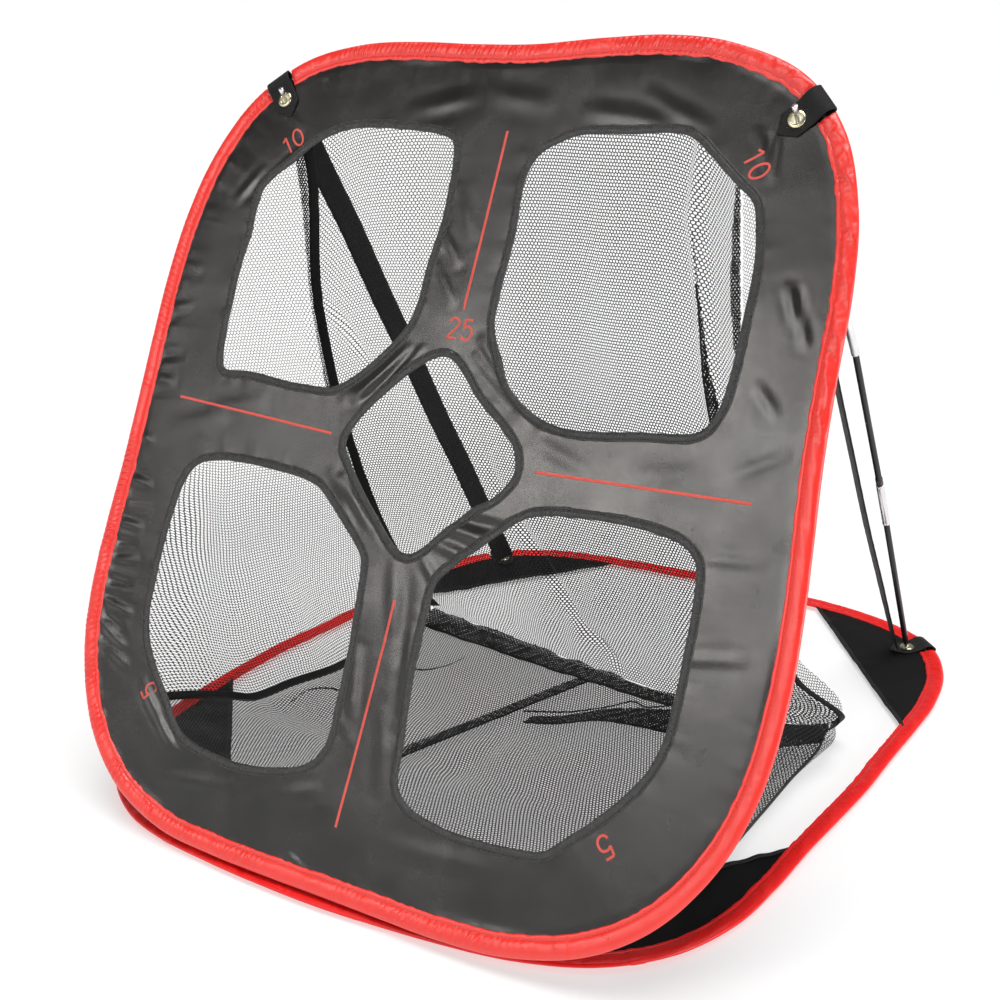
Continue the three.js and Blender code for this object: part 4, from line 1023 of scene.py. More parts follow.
GREY_THREAD = tape("grey_thread", (0.030, 0.029, 0.028), (0.07, 0.068, 0.065), 0.5, 0.0006)
RING = np.array([(4.2, -2.4), (4.3, -2.95), (5.0, -3.3), (6.2, -3.3), (7.2, -2.95), (7.6, -2.35), (7.3, -2.0), (5.2, -1.95), (4.75, -1.6),
                 (4.75, 1.6), (5.2, 1.95), (7.3, 2.0), (7.6, 2.35), (7.2, 2.95), (6.2, 3.3), (5.0, 3.3), (4.3, 2.95), (4.2, 2.4)])


def grommet(name, node_name, body, x, y, place):
    n = 48
    a = np.arange(n) * 2 * math.pi / n
    g = place(x + RING[None, :, 0] * np.cos(a)[:, None], y + RING[None, :, 0] * np.sin(a)[:, None], RING[None, :, 1] + 0 * a[:, None])
    o = tube(name, g, BRASS, closed=True)
    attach(o, body)
    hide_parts(node_name)


for body, line, gy, place in (("panel", panel_line, GRV, panel), ("base", base_line, GRY, ground)):
    for side, sx in (("right", 1), ("left", -1)):
        f_c = arcs[body][0 if sx > 0 else 1]
        tab(f"{body}_webbing_tab_{side}", f"{body}_tab_{side}", body, line, sx * GRX, gy, place, f_c, sx)
        grommet(f"{body}_eyelet_{side}", f"{body}_grommet_{side}", body, sx * GRX, gy, place)

# ------------------------------------------------------------------ poles and straps
A = {s: np.array([s * GRX, GRY, BASE_Z]) for s in (1, -1)}
B = {s: np.array([s * GRX, 0, SEAM_Z]) + E2 * GRV for s in (1, -1)}
pole_dir = (B[1] - A[1]) / np.linalg.norm(B[1] - A[1])
pole_len = np.linalg.norm(B[1] - A[1])
rear_up = np.array([0, pole_dir[2], -pole_dir[1]])


def pole_at(sx, s):
    return A[sx] + pole_dir * s + np.array([sx * np.interp(s, [0, 268, 441, pole_len], [0, 7.2, 9.0, 0]), 0, 0])


def dome(r, at, sign, n=6):
    a = np.linspace(0, math.pi / 2, n)
    return [(r * math.sin(q) if q else 0.0001, at - sign * r * math.cos(q)) for q in a]


for side, sx in (("right", 1), ("left", -1)):
    q0, p1 = pole_at(sx, 11), pole_at(sx, 268)
    l1 = np.linalg.norm(p1 - q0)
    k1 = l1 - 58
    parts = [
        (f"lower_rod_{side}", f"pole_lower_rod_{side}", f"pole_lower_{side}", dome(3, 0, 1) + [(3, 8), (3, k1 * 0.5), (3, k1 + 29), (2.6, k1 + 29.4), (0.0001, k1 + 29.4)], q0, p1, ROD, "pole_black"),
        (f"lower_ferrule_{side}", f"pole_lower_ferrule_{side}", f"pole_lower_{side}",
         [(3.25, k1 + 0.2), (3.8, k1), (4.0, k1 + 0.4), (4.0, k1 + 3), (3.9, k1 + 3.3), (4.0, k1 + 3.6), (4.0, l1 - 3.4), (3.88, l1 - 3.0), (4.0, l1 - 2.6), (4.0, l1 - 0.5), (3.8, l1), (3.25, l1 - 0.1)], q0, p1, FERRULE, "ferrule_steel"),
    ]
    m0, m1 = pole_at(sx, 268.6), pole_at(sx, 440.4)
    lm = np.linalg.norm(m1 - m0)
    parts.append((f"middle_rod_{side}", f"pole_middle_rod_{side}", f"pole_middle_{side}",
                  [(0.0001, 0), (3.3, 0), (3.6, 0.4), (3.65, 7.6), (3.45, 8.4), (3.0, 8.8), (3.0, lm / 2), (3.0, lm - 0.3), (2.8, lm), (0.0001, lm)], m0, m1, ROD, "pole_black"))
    q1, p2 = pole_at(sx, pole_len - 11), pole_at(sx, 441)
    l3 = np.linalg.norm(p2 - q1)
    k3 = l3 - 58
    parts += [
        (f"upper_rod_{side}", f"pole_upper_rod_{side}", f"pole_upper_{side}", dome(3, 0, 1) + [(3, 8), (3, k3 * 0.5), (3, k3 + 29), (2.6, k3 + 29.4), (0.0001, k3 + 29.4)], q1, p2, ROD, "pole_black"),
        (f"upper_ferrule_{side}", f"pole_upper_ferrule_{side}", f"pole_upper_{side}",
         [(3.25, k3 + 0.2), (3.8, k3), (4.0, k3 + 0.4), (4.0, k3 + 3), (3.9, k3 + 3.3), (4.0, k3 + 3.6), (4.0, l3 - 3.4), (3.88, l3 - 3.0), (4.0, l3 - 2.6), (4.0, l3 - 0.5), (3.8, l3), (3.25, l3 - 0.1)], q1, p2, FERRULE, "ferrule_steel"),
        (f"top_pin_{side}", f"pole_top_pin_{side}", "panel",
         [(0.0001, -14), (1.9, -14), (2.45, -13.7), (2.7, -13), (2.7, -6.9), (2.45, -6.4), (2.0, -6.0), (2.0, 5.0), (2.5, 5.35), (2.9, 5.8), (2.9, 6.6), (2.3, 7.2), (1.4, 7.5), (0.0001, 7.5)], B[sx], B[sx] - pole_dir * 10, CHROME, "pin_steel"),
        (f"foot_pin_{side}", f"pole_foot_pin_{side}", "base",
         [(0.0001, -4.2), (1.6, -4.2), (2.0, -3.8), (2.0, 5.0), (2.5, 5.35), (2.9, 5.8), (2.9, 6.6), (2.3, 7.2), (1.4, 7.5), (0.0001, 7.5)], A[sx], A[sx] + pole_dir * 10, CHROME, "pin_steel"),
    ]
    for nm, node_name, body, prof, a, b, mat, sl in parts:
        if "ferrule" in nm:
            prof = prof + [(3.25, prof[0][1])]
            prof = np.array(prof[:-1])
            n = 32
            d = (b - a) / np.linalg.norm(b - a)
            xx = np.cross(d, [0.3, 0.9, 0.1])
            xx /= np.linalg.norm(xx)
            yy = np.cross(d, xx)
            an = np.arange(n) * 2 * math.pi / n
            rg = np.cos(an)[:, None] * xx + np.sin(an)[:, None] * yy
            g = a + prof[None, :, 1, None] * d + prof[None, :, 0, None] * rg[:, None]
            o = tube(nm, g, mat, closed=True)
        else:
            o = revolve(nm, prof, a, b, mat, 32)
        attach(o, body)
        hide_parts(node_name)


# ------------------------------------------------------------------ fabric left unparented, its placement baked into the mesh
def follow_fold(o):
    """Bakes the object's placement into its mesh and reads its points; no point is turned."""
    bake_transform(o)
    co = np.zeros(len(o.data.vertices) * 3, np.float32)
    o.data.vertices.foreach_get("co", co)
    co = co.reshape(-1, 3)


for side, sx in (("right", 1), ("left", -1)):
    s = np.linspace(14, pole_len - 16, 150)
    f = (s - s[0]) / (s[-1] - s[0])
    slack = np.sin(math.pi * f)
    c = A[sx] + pole_dir * s[:, None] + rear_up * (-5 - 2.0 * slack + 1.2 * noise1(s, 900, 90, 601 + sx))[:, None]
    c = c + np.array([1.0, 0, 0]) * (-sx * (10.5 + 2.0 * slack + 0.8 * noise1(s, 900, 120, 603 + sx)))[:, None]
    ang = 0.69 + 0.05 * noise1(s, 900, 140, 605 + sx)
    endk = 1.0 + 0 * f
    wide = np.stack([-sx * np.sin(ang), rear_up[1] * np.cos(ang), rear_up[2] * np.cos(ang)], -1)
    wide_end = np.array([-sx * 0.95, 0.0, 0.05])
    wide = wide * endk[:, None] + wide_end * (1 - endk[:, None])
    wide /= np.linalg.norm(wide, axis=1, keepdims=True)
    q = np.linspace(-0.5, 0.5, 7)
    thin = np.cross(np.broadcast_to(pole_dir, wide.shape), wide)
    cup = 0.5 * (1 - (2 * q) ** 2)
    g = c[:, None] + wide[:, None] * (q * 23)[None, :, None] + thin[:, None] * (cup[None, :, None] + 0.12 * noise1(s, 900, 6, 607 + sx)[:, None, None])
    o = slab(f"webbing_strap_{side}", g, 1.2, WEBBING)
    follow_fold(o)
    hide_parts(f"strap_{side}")

# ------------------------------------------------------------------ net bag
HEM = Line([(-246, 505, 12.5), (-110, 480, 12.5), (0, 462, 12.5), (100, 449, 12.5), (190, 446, 12.5), (240, 462, 12.5)])
TOP = Line([panel(u, v, w) for u, v, w in ((-238, 668, -8), (-190, 702, -7), (-60, 716, -7), (60, 720, -7), (180, 712, -7), (238, 668, -8))])


def bez(p0, p1, p2, p3, t):
    t = t[..., None]
    return p0 * (1 - t) ** 3 + 3 * p1 * (1 - t) ** 2 * t + 3 * p2 * (1 - t) * t * t + p3 * t ** 3


def smooth(x):
    x = np.clip(x, 0, 1)
    return x * x * (3 - 2 * x)


def shift(p):
    """The bag hangs a little to the left of the hoops' centre, and its rear right corner bellies out near the ground."""
    q = p.copy()
    x, z = p[..., 0], p[..., 2]
    right = np.clip(x / 238, 0, 1.3)
    left = np.clip(-x / 240, 0, 1.3)
    belly = smooth((x - 130) / 110) * np.exp(-(((z - 34) / 28) ** 2))
    q[..., 0] += -22 * right * smooth(z / 380) - (20 * smooth(z / 500) - 13 * smooth((z - 400) / 140)) * left + 37 * belly
    q[..., 1] += 4 * belly
    return q


def back_plain(a, t):
    a, t = np.broadcast_arrays(np.asarray(a, float), np.asarray(t, float))
    p0, p3 = TOP.at(a), HEM.at(a)
    p1 = np.stack([p0[..., 0] * 0.99, p0[..., 1] + 2, p0[..., 2] - 150], -1)
    p2 = np.stack([p3[..., 0], p0[..., 1] + 6, 0 * a + 175], -1)
    return bez(p0, p1, p2, p3, t)


def back_at(a, t):
    a, t = np.broadcast_arrays(np.asarray(a, float), np.asarray(t, float))
    p = shift(back_plain(a, t))
    x, z = p[..., 0], p[..., 2]
    hold = smooth(t / 0.12) * smooth((1 - t) / 0.05) * smooth(np.minimum(a, 1 - a) / 0.06)
    low = smooth((260 - z) / 200)
    f = (5.0 + 4 * low) * noise2(x + 600 + 0.12 * z, z * 0.16 + 300, 62, 701) + (1.4 + 2.2 * low) * noise2(x + 600 - 0.2 * z, z * 0.3 + 80, 23, 702)
    # creases that show through the openings: a line in x for each height
    xc = np.interp(z, [300, 351, 399, 446, 523, 581], [186, 180, 176, 172, 163, 173])
    f = f - 8 * np.exp(-(((x - xc) / 7) ** 2)) * smooth((z - 300) / 100)
    xc = np.interp(z, [340, 381, 405, 422, 470], [-206, -228, -241, -252, -262])
    f = f + 6 * np.exp(-(((x - xc) / 6) ** 2)) * smooth((z - 330) / 50) * smooth((480 - z) / 50)
    xc = np.interp(z, [19, 73, 119, 169, 260], [35, -7, -27, -50, -88])
    f = f + 6 * np.exp(-(((x - xc) / 8) ** 2)) * smooth((300 - z) / 120)
    p = p.copy()
    p[..., 1] += f * hold
    p[..., 0] += 0.4 * f * hold
    p[..., 2] = np.maximum(p[..., 2], 3.0)
    return p


# lowest edge of the bag at each side, from the front to the rear
LOW = {
    -1: Line([(-276, 56, 92), (-297, 118, 63), (-303, 178, 38), (-298, 220, 15), (-288, 237, 8), (-273, 284, 8), (-254, 331, 8), (-249, 420, 8), (-248, 503, 11)]),
    1: Line([(226, 36, 9), (256, 96, 8), (263, 190, 6), (263, 285, 5), (262, 365, 5), (263, 432, 6), (258, 462, 11)]),
}
EDGES = {
    1: Line([panel(u, v, w) for u, v, w in ((285, 628, -7), (312, 560, -7), (322, 420, -7), (334, 250, -7), (316, 130, -7), (288, 84, -8))]),
    -1: Line([panel(u, v, w) for u, v, w in ((-288, 628, -7), (-320, 560, -7), (-324, 420, -7), (-319, 250, -7), (-306, 140, -7), (-280, 88, -8))]),
}


def low_edge(sx, a):
    """Lower edge of a side net: along the ground from the rear, then up to the panel."""
    a = np.asarray(a, float)
    p = LOW[sx].at(1 - 0.86 * a)
    end = EDGES[sx].at(np.ones(1))[0]
    k = smooth((a - 0.72) / 0.28)[..., None]
    return p * (1 - k) + (np.array([0.0, 0, 0]) + end) * k


def side_at(sx):
    def f(a, t):
        a, t = np.broadcast_arrays(np.asarray(a, float), np.asarray(t, float))
        s = back_at(1.0 + 0 * a if sx > 0 else 0 * a, 0.05 + 0.95 * t)
        s[..., 0] += sx * 1.2
        e = EDGES[sx].at(t)
        p = s * (1 - a[..., None]) + e * a[..., None]
        s1 = back_at(np.array([1.0 if sx > 0 else 0.0]), np.array([1.0]))[0]
        flat_low = (s1 + np.array([sx * 1.2, 0, 0])) * (1 - a[..., None]) + EDGES[sx].at(np.ones(1))[0] * a[..., None]
        k = smooth((t - 0.35) / 0.65)[..., None]
        p = p + (low_edge(sx, a) - flat_low) * k
        hold = smooth(np.minimum(a, 1 - a) / 0.08) * smooth(t / 0.1) * smooth((1 - t) / 0.06)
        y, z = p[..., 1], p[..., 2]
        low = smooth((220 - z) / 200)
        p[..., 0] += hold * ((5 + 5 * low) * noise2(y + 0.4 * z + 500, z * 0.3 + 90, 58, 711 + sx) + (1.5 + 2.5 * low) * noise2(y * 0.8 - z * 0.4 + 900, z * 0.5 + y * 0.2 + 90, 24, 713 + sx))
        p[..., 2] = np.maximum(p[..., 2], 3.2)
        return p
    return f


def floor_at(a, t):
    a, t = np.broadcast_arrays(np.asarray(a, float), np.asarray(t, float))
    left, right = LOW[-1].at(t), LOW[1].at(t)
    p = left * (1 - a[..., None]) + right * a[..., None]
    h = HEM.at(a)
    chord = HEM.at(np.zeros(1))[0] * (1 - a[..., None]) + HEM.at(np.ones(1))[0] * a[..., None]
    p[..., 1] += (h[..., 1] - chord[..., 1]) * t * t
    x, y = p[..., 0], p[..., 1]
    hold = smooth(np.minimum(t, 1 - t) / 0.06) * smooth(np.minimum(a, 1 - a) / 0.05)
    p[..., 2] += hold * (4.2 * noise2(x + 500, y * 0.5 + 60, 44, 721) + 2.0 * noise2(x + y * 0.3 + 500, y * 0.4 + 500, 19, 722) + 1.0)
    p[..., 2] = np.maximum(p[..., 2], 1.2)
    return p


def table_of(f, a, n=400):
    """Length run along t at one place across, so that the holes stay regular."""
    t = np.linspace(0, 1, n)
    p = f(np.full(n, a), t)
    s = np.concatenate([[0], np.cumsum(np.linalg.norm(np.diff(p, axis=0), axis=1))])
    return t, s


def width_table(f, n=60):
    t = np.linspace(0, 1, n)
    a = np.linspace(0, 1, 80)
    out = []
    for q in t:
        p = f(a, np.full(80, q))
        out.append(np.linalg.norm(np.diff(p, axis=0), axis=1).sum())
    return t, np.array(out)


def honeycomb(width, length, keep, d=3.4, w=0.66):
    """A net with pointed-top holes over width x length mm. Returns corner points, triangles and quads."""
    side = d / math.sqrt(3)
    ni, nj = int(width / d) + 3, int(length / (1.5 * side)) + 3
    i, j = np.meshgrid(np.arange(-1, ni), np.arange(-1, nj), indexing="ij")
    cx = i * d + (j % 2) * d / 2
    cy = j * 1.5 * side
    n0, n1 = i.shape
    ang_t = np.radians([30, 150, 270])
    ang_b = np.radians([330, 210, 90])
    T = np.stack([cx, cy + side], -1)
    Bv = np.stack([cx, cy - side], -1)
    wob = 0.06 * d
    rng = np.random.RandomState(9)
    T = T + rng.uniform(-wob, wob, T.shape)
    Bv = Bv + rng.uniform(-wob, wob, Bv.shape)
    kt, kb = keep(T[..., 0], T[..., 1]), keep(Bv[..., 0], Bv[..., 1])
    rt, rb = ((w(q[..., 0] / width, q[..., 1] / length) if callable(w) else np.full(q.shape[:2], w)) / math.sqrt(3) for q in (T, Bv))
    tc = T[..., None, :] + rt[..., None, None] * np.stack([np.cos(ang_t), np.sin(ang_t)], -1)
    bc = Bv[..., None, :] + rb[..., None, None] * np.stack([np.cos(ang_b), np.sin(ang_b)], -1)
    pts = np.concatenate([tc.reshape(-1, 2), bc.reshape(-1, 2)])
    idt = (np.arange(n0 * n1) * 3).reshape(n0, n1)
    idb = idt + n0 * n1 * 3
    quads = []

    def link(ii, jj, a, b):
        ok = (ii >= 0) & (ii < n0) & (jj >= 0) & (jj < n1)
        I, J = np.nonzero(ok)
        i2, j2 = ii[I, J], jj[I, J]
        both = kt[I, J] & kb[i2, j2]
        I, J, i2, j2 = I[both], J[both], i2[both], j2[both]
        t0, b0 = idt[I, J], idb[i2, j2]
        quads.append(np.stack([t0 + a[0], b0 + b[0], b0 + b[1], t0 + a[1]], -1))
    gi, gj = np.meshgrid(np.arange(n0), np.arange(n1), indexing="ij")
    odd = (j % 2) == 1
    link(gi, gj + 2, (0, 1), (0, 1))
    link(np.where(odd, gi + 1, gi), gj + 1, (2, 0), (1, 2))
    link(np.where(odd, gi, gi - 1), gj + 1, (1, 2), (2, 0))
    quads = np.concatenate(quads)
    tri = np.concatenate([idt[kt][:, None] + [0, 1, 2], idb[kb][:, None] + [0, 2, 1]])
    linked = np.zeros(len(pts), bool)
    linked[quads.ravel()] = True
    tri = tri[linked[tri].all(1)]
    return pts, tri, quads


def raw_mesh(name, pts, tri, quads, mat):
    used = np.unique(np.concatenate([tri.ravel(), quads.ravel()]))
    back = np.zeros(len(pts), int)
    back[used] = np.arange(len(used))
    v = row(pts[used]).astype(np.float32)
    loops = np.concatenate([back[tri].ravel(), back[quads].ravel()]).astype(np.int32)
    starts = np.concatenate([np.arange(len(tri)) * 3, len(tri) * 3 + np.arange(len(quads)) * 4]).astype(np.int32)
    me = bpy.data.meshes.new(name)
    me.vertices.add(len(v))
    me.vertices.foreach_set("co", v.ravel())
    me.loops.add(len(loops))
    me.loops.foreach_set("vertex_index", loops)
    me.polygons.add(len(starts))
    me.polygons.foreach_set("loop_start", starts)
    me.polygons.foreach_set("use_smooth", np.ones(len(starts), bool))
    me.update(calc_edges=True)
    me.validate()
    me.materials.append(mat)
    o = bpy.data.objects.new(name, me)
    bpy.context.scene.collection.objects.link(o)
    return o


def net(name, f, width, length, d, w, node_name, body, mat, crop=(0, 1, 0, 1), taper=None, split=1, layers=(((0.0, 0.0), None),)):
    """A net laid over f(a, t). Width and length in mm; crop keeps part of it; taper gives the width at each t."""
    tt, ss = table_of(f, 0.5 * (crop[0] + crop[1]))
    length = ss[-1] if length is None else length
    span = width if taper is None else taper[1].max()
    every, tris, quads_, cents, base_at = [], [], [], [], 0

    def t_of(y):
        return np.interp(y / length * ss[-1], ss, tt)

    def a_of(x, t):
        return x / (width if taper is None else np.interp(t, *taper))
    for phase, lift in layers:
        def keep(x, y):
            x, y = x + phase[0], y + phase[1]
            t = t_of(y)
            a = a_of(x, t)
            return (y > 0) & (y < length) & (a >= crop[0]) & (a <= crop[1]) & (t >= crop[2]) & (t <= crop[3])
        pts, tri, quads = honeycomb(span, length, keep, d, w)
        used = np.unique(np.concatenate([tri.ravel(), quads.ravel()]))
        p3 = np.zeros((len(pts), 3))
        x, y = pts[used, 0] + phase[0], np.clip(pts[used, 1] + phase[1], 0, length)
        t = t_of(y)
        a = np.clip(a_of(x, t), 0, 1)
        q = f(a, t)
        if lift is not None:
            q = q + lift(a, t)
        p3[used] = q
        every.append(p3)
        cents.append(pts[:, 0])
        tris.append(tri + base_at)
        quads_.append(quads + base_at)
        base_at += len(p3)
    p3, flat_x = np.vstack(every), np.concatenate(cents)
    tri, quads = np.vstack(tris), np.vstack(quads_)
    out = []
    for k in range(split):
        lo, hi = k / split * span, (k + 1) / split * span
        ct, cq = flat_x[tri].mean(1), flat_x[quads].mean(1)
        o = raw_mesh(name if split == 1 else f"{name}_{'abcd'[k]}", p3, tri[(ct >= lo - 9 * (k == 0)) & (ct < hi + 9 * (k == split - 1))],
                     quads[(cq >= lo - 9 * (k == 0)) & (cq < hi + 9 * (k == split - 1))], mat)
        if body is None:
            follow_fold(o)
        else:
            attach(o, body)
        if node_name:
            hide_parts(node_name)
        area = mesh_area(o)
        mean = span if taper is None else float(taper[1].mean())
        fw = (mean if crop[:2] == (0, 1) else mean * (crop[1] - crop[0])) / 1000 / split * len(layers)
        fl = length / 1000 * (crop[3] - crop[2])
        fw = max(fw, 0.0102)
        out.append((o.name, len(o.data.polygons), round(fw, 3), round(fl, 3), round(area, 4)))
    print("net", out)
    return out


net("bag_back", back_at, TOP.length, None, 3.4, lambda a, t: 0.72 + 0.21 * smooth((a - 0.18) / 0.35) + 0.30 * smooth((t - 0.35) / 0.3), "back_net", None, THREAD, split=2)
for side, sx in (("right", 1), ("left", -1)):
    f = side_at(sx)
    wt = width_table(f)
    net(f"bag_side_{side}", f, None, None, 3.4, (lambda a, t: 0.56 + 0.16 * smooth((t - 0.5) / 0.25)) if sx > 0 else (lambda a, t: 0.52 + 0.36 * smooth((t - 0.45) / 0.25)), f"side_net_{side}", None, THREAD, taper=wt)
    print("side widths", side, [round(float(v)) for v in wt[1][::12]])
net("bag_floor", floor_at, width_table(floor_at)[1].max(), None, 3.4, 1.32, "floor_net", None, THREAD)


# ------------------------------------------------------------------ seams of the bag
def ribbon(name, edges, thick, mat, node_name, body):
    """A strip through several rows of points, each along its length."""
    g = np.stack(edges, 1)
    o = slab(name, g, thick, mat)
    if body is None:
        follow_fold(o)
    else:
        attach(o, body)
    if node_name:
        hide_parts(node_name)
    return o


def surface_between(e0, e1):
    """f(a, t) over the strip between two curves, each read by t."""
    l0, l1 = Line(e0), Line(e1)

    def f(a, t):
        a, t = np.broadcast_arrays(np.asarray(a, float), np.asarray(t, float))
        return l0.at(t) * (1 - a[..., None]) + l1.at(t) * a[..., None]
    f.width = float(np.median(np.linalg.norm(l0.at(np.linspace(0, 1, 50)) - l1.at(np.linspace(0, 1, 50)), axis=1)))
    f.taper = (np.linspace(0, 1, 60), np.maximum(np.linalg.norm(l0.at(np.linspace(0, 1, 60)) - l1.at(np.linspace(0, 1, 60)), axis=1), 0.5))
    return f


def doubled(name, f, body, node_name=None, d=2.9, w=1.15, gap=1.1, taper=False):
    """Net folded on itself: two layers, out of step with each other."""
    net(name, f, f.width, None, d, w, node_name, body, THREAD, taper=f.taper if taper else None,
        layers=(((0.0, 0.0), None), ((0.47 * d, 0.31 * d), lambda a, t: np.stack([0 * a, -gap + 0 * a, 0.5 * gap + 0 * a], -1))))


def back_point(x, z, off=0.0):
    """Points of the back net at the given places, seen from the rear."""
    x, z = np.asarray(x, float), np.asarray(z, float)
    P_ = back_grid
    out = []
    for q, r in zip(x, z):
        k = ((P_[:, 0] - q) ** 2 + (P_[:, 2] - r) ** 2).argmin()
        out.append([q, P_[k, 1] + off, r])
    return np.array(out)


aa, tt_ = np.meshgrid(np.linspace(0, 1, 180), np.linspace(0, 1, 260), indexing="ij")
back_grid = back_at(aa, tt_).reshape(-1, 3)

for side, sx in (("left", -1), ("right", 1)):
    t = np.linspace(0.03, 0.99, 190) if sx < 0 else np.linspace(0.70, 0.99, 90)
    a0 = 0.0 if sx < 0 else 1.0
    c = back_at(np.full(len(t), a0), t)
    wv = np.stack([np.array([-sx * 0.86, 0.5, 0.0]) * q for q in ((-1.0, 2.5, 6.0, 9.0) if sx < 0 else (-0.8, 1.0, 3.0, 5.0))])
    rough = 0.35 * noise1(t, 2, 0.02, 811 + sx)
    ribbon(f"bag_corner_tape_{side}", [c + q + np.array([0, 1.6, 0]) + rough[:, None] * np.array([1, 0.4, 0]) for q in wv], 0.9, SEAM, f"corner_seam_tape_{side}", None)
    # the rough doubled seam edge beside the corner
    t = np.linspace(0.03, 0.99, 190) if sx < 0 else np.linspace(0.04, 0.985, 190)
    c = back_at(np.full(len(t), a0), t)
    if sx < 0:
        ww = np.clip(7.5 * (0.5 + 0.5 * np.cos(t * 9.0)) + 1.5, 1.0, 9.0)
        f = surface_between(c + np.array([2.6, -1.4, 0]), c + np.array([sx * 1.0, -0.6, 0]) * ww[:, None])
    else:
        ww = np.interp(c[:, 2], [0, 250, 330, 400, 470, 530, 575], [2.6, 2.8, 3.2, 5.0, 7.5, 5.5, 2.2])
        f = surface_between(c + np.array([0.6, -1.2, 0]), c + np.array([-1.0, -0.8, 0]) * ww[:, None])
    doubled(f"corner_selvage_{side}", f, None, d=2.8, w=0.9, taper=True)
# right rear corner: the spare net at the seam stands out behind the tape
t = np.linspace(0.80, 0.965, 60)
c = back_at(np.full(60, 1.0), t)
k = np.sin(math.pi * np.linspace(0.05, 0.95, 60)) ** 0.6
f = surface_between(c + np.array([0, 1.0, 0]), c + np.array([-6.0, 24, 9]) * k[:, None])
net("corner_spare_right", f, f.width, None, 3.4, 0.8, None, None, THREAD, taper=f.taper)
# crease of doubled net on the back wall, and the long seam edge beside the right corner
z = np.linspace(520, 300, 70)
xc = np.interp(z, [300, 351, 399, 446, 523], [186, 179, 175, 172, 163])
wid = np.interp(z, [300, 351, 399, 446, 523], [17, 12, 5, 2.2, 1.0])
f = surface_between(back_point(xc, z, -3.0), back_point(xc + wid, z, -3.0))
doubled("back_crease", f, None, d=2.8, w=1.1, taper=True)
z = np.linspace(470, 318, 60)
xc = np.interp(z, [300, 351, 399, 446, 523], [186, 179, 175, 172, 163])
e = back_point(xc, z, -3.6)
ribbon("back_crease_edge", [e + np.array([q, 0, 0]) for q in (-0.9, 0.0, 0.9)], 0.7, SEAM, None, None)
# hem: the net folded double, leaning up from the ground
x = np.linspace(0, 1, 200)
c = shift(HEM.at(x))
out_ = np.interp(x, [0, 0.3, 0.75, 1], [27, 20, 4, 10])
wav = noise1(x, 2, 0.045, 801)
f = surface_between(c + np.stack([0 * x, -out_ + 1.5 * wav, -8.6 + 0.5 * wav], -1), c + np.stack([0 * x, 1 + 1.0 * wav, 1.5 + 1.5 * wav], -1))
doubled("hem_band", f, None, node_name="rear_hem_band", d=2.8, w=1.12)
ribbon("hem_tape", [c + np.stack([0 * x, -out_ + q + 0.8 * wav, -8.4 + r + 0.3 * wav], -1) for q, r in ((-2.2, 0.0), (-0.8, 0.5), (0.8, 0.4))], 0.9, SEAM, None, None)
# seam down the middle of the floor
t = np.linspace(0, 1, 120)
cx, cy = np.interp(t, [0, 1], [-97, -6]), np.interp(t, [0, 1], [186, 440])
nz_ = 0.8 * noise1(t, 2, 0.06, 803)
f = surface_between(np.stack([cx - 6.6 + nz_, cy + 1.5, 9.6 + 0.7 * nz_], -1), np.stack([cx + 6.6 + nz_, cy - 1.5, 9.6 + 0.7 * nz_], -1))
doubled("floor_join", f, None, node_name="floor_seam_tape", d=2.9, w=1.1)
ribbon("floor_join_edge", [np.stack([cx + q + nz_, cy - 1.5, 9.0 + 0.7 * nz_], -1) for q in (5.6, 6.6, 7.8)], 0.8, SEAM, None, None)
# a slack pleat across the floor, doubled over itself
px_, py_ = np.array([-14, 14, 50, 84, 123, 168, 216, 262]), np.array([338, 350, 378, 386, 390, 398, 410, 446])
hh_ = np.array([1.5, 3, 7, 13, 19, 20, 19, 14])
lo_ = Line(np.stack([px_, py_, 0 * px_ + 5.5], -1)).at(np.linspace(0, 1, 90))
hi_ = Line(np.stack([px_ + 2, py_ + 12, 6.5 + hh_], -1)).at(np.linspace(0, 1, 90))
f = surface_between(lo_, hi_)
doubled("floor_pleat", f, None, d=2.8, w=1.15, taper=True)
ribbon("floor_pleat_edge", [lo_ + np.array([0, q, 0.5]) for q in (-2.4, -1.0, 0.6)], 0.8, SEAM, None, None)
# thin folds of the floor net
for k, pts in enumerate((((-23, 352, 9), (20, 372, 10), (50, 402, 10), (66, 420, 11), (82, 418, 10), (102, 434, 9)),
                         ((-190, 372, 9), (-166, 376, 10), (-150, 398, 10), (-146, 424, 9)),
                         ((-246, 246, 10), (-246, 278, 11), (-232, 292, 10), (-214, 296, 9)))):
    c = Line(pts).at(np.linspace(0, 1, 70))
    ribbon(f"floor_fold_{k}", [c + np.array([0, q, 0.3 * q]) for q in (-0.9, 0.0, 0.9)], 0.7, SEAM, None, None)
# bound edges along the ground at each side
for side, sx in (("left", -1), ("right", 1)):
    aq = np.linspace(0.0, 1.0, 190)
    c = low_edge(sx, aq)
    wv = 0.8 * noise1(aq, 2, 0.05, 821 + sx)
    wid = 9.5 if sx < 0 else 4.0
    ribbon(f"bag_low_tape_{side}", [c + np.stack([sx * 0.8 + 0 * aq, wv, wid * q + 0.2 * wv], -1) for q in (-0.25, 0.1, 0.45, 0.75)], 0.9, SEAM, None, None)
# bound edge round the rear right corner
t = np.linspace(0.86, 1.0, 60)
c = back_at(np.full(60, 1.0), t)
under = Line([tuple(c[-1]), (252, 455, 4.5), (226, 440, 4.0)]).at(np.linspace(0, 1, 24))[1:]
c = np.vstack([c, under])
kk = np.linspace(0, 1, len(c))
wid = 2.4 + 3.4 * np.exp(-(((kk - 0.72) / 0.2) ** 2))
ribbon("corner_binding_right", [c + np.stack([1.6 * q * wid * 0.3 + 1.2, 0.6 * wid * q, 0.55 * wid * q], -1) for q in (-1, -0.3, 0.4, 1)], 1.0, SEAM, None, None)
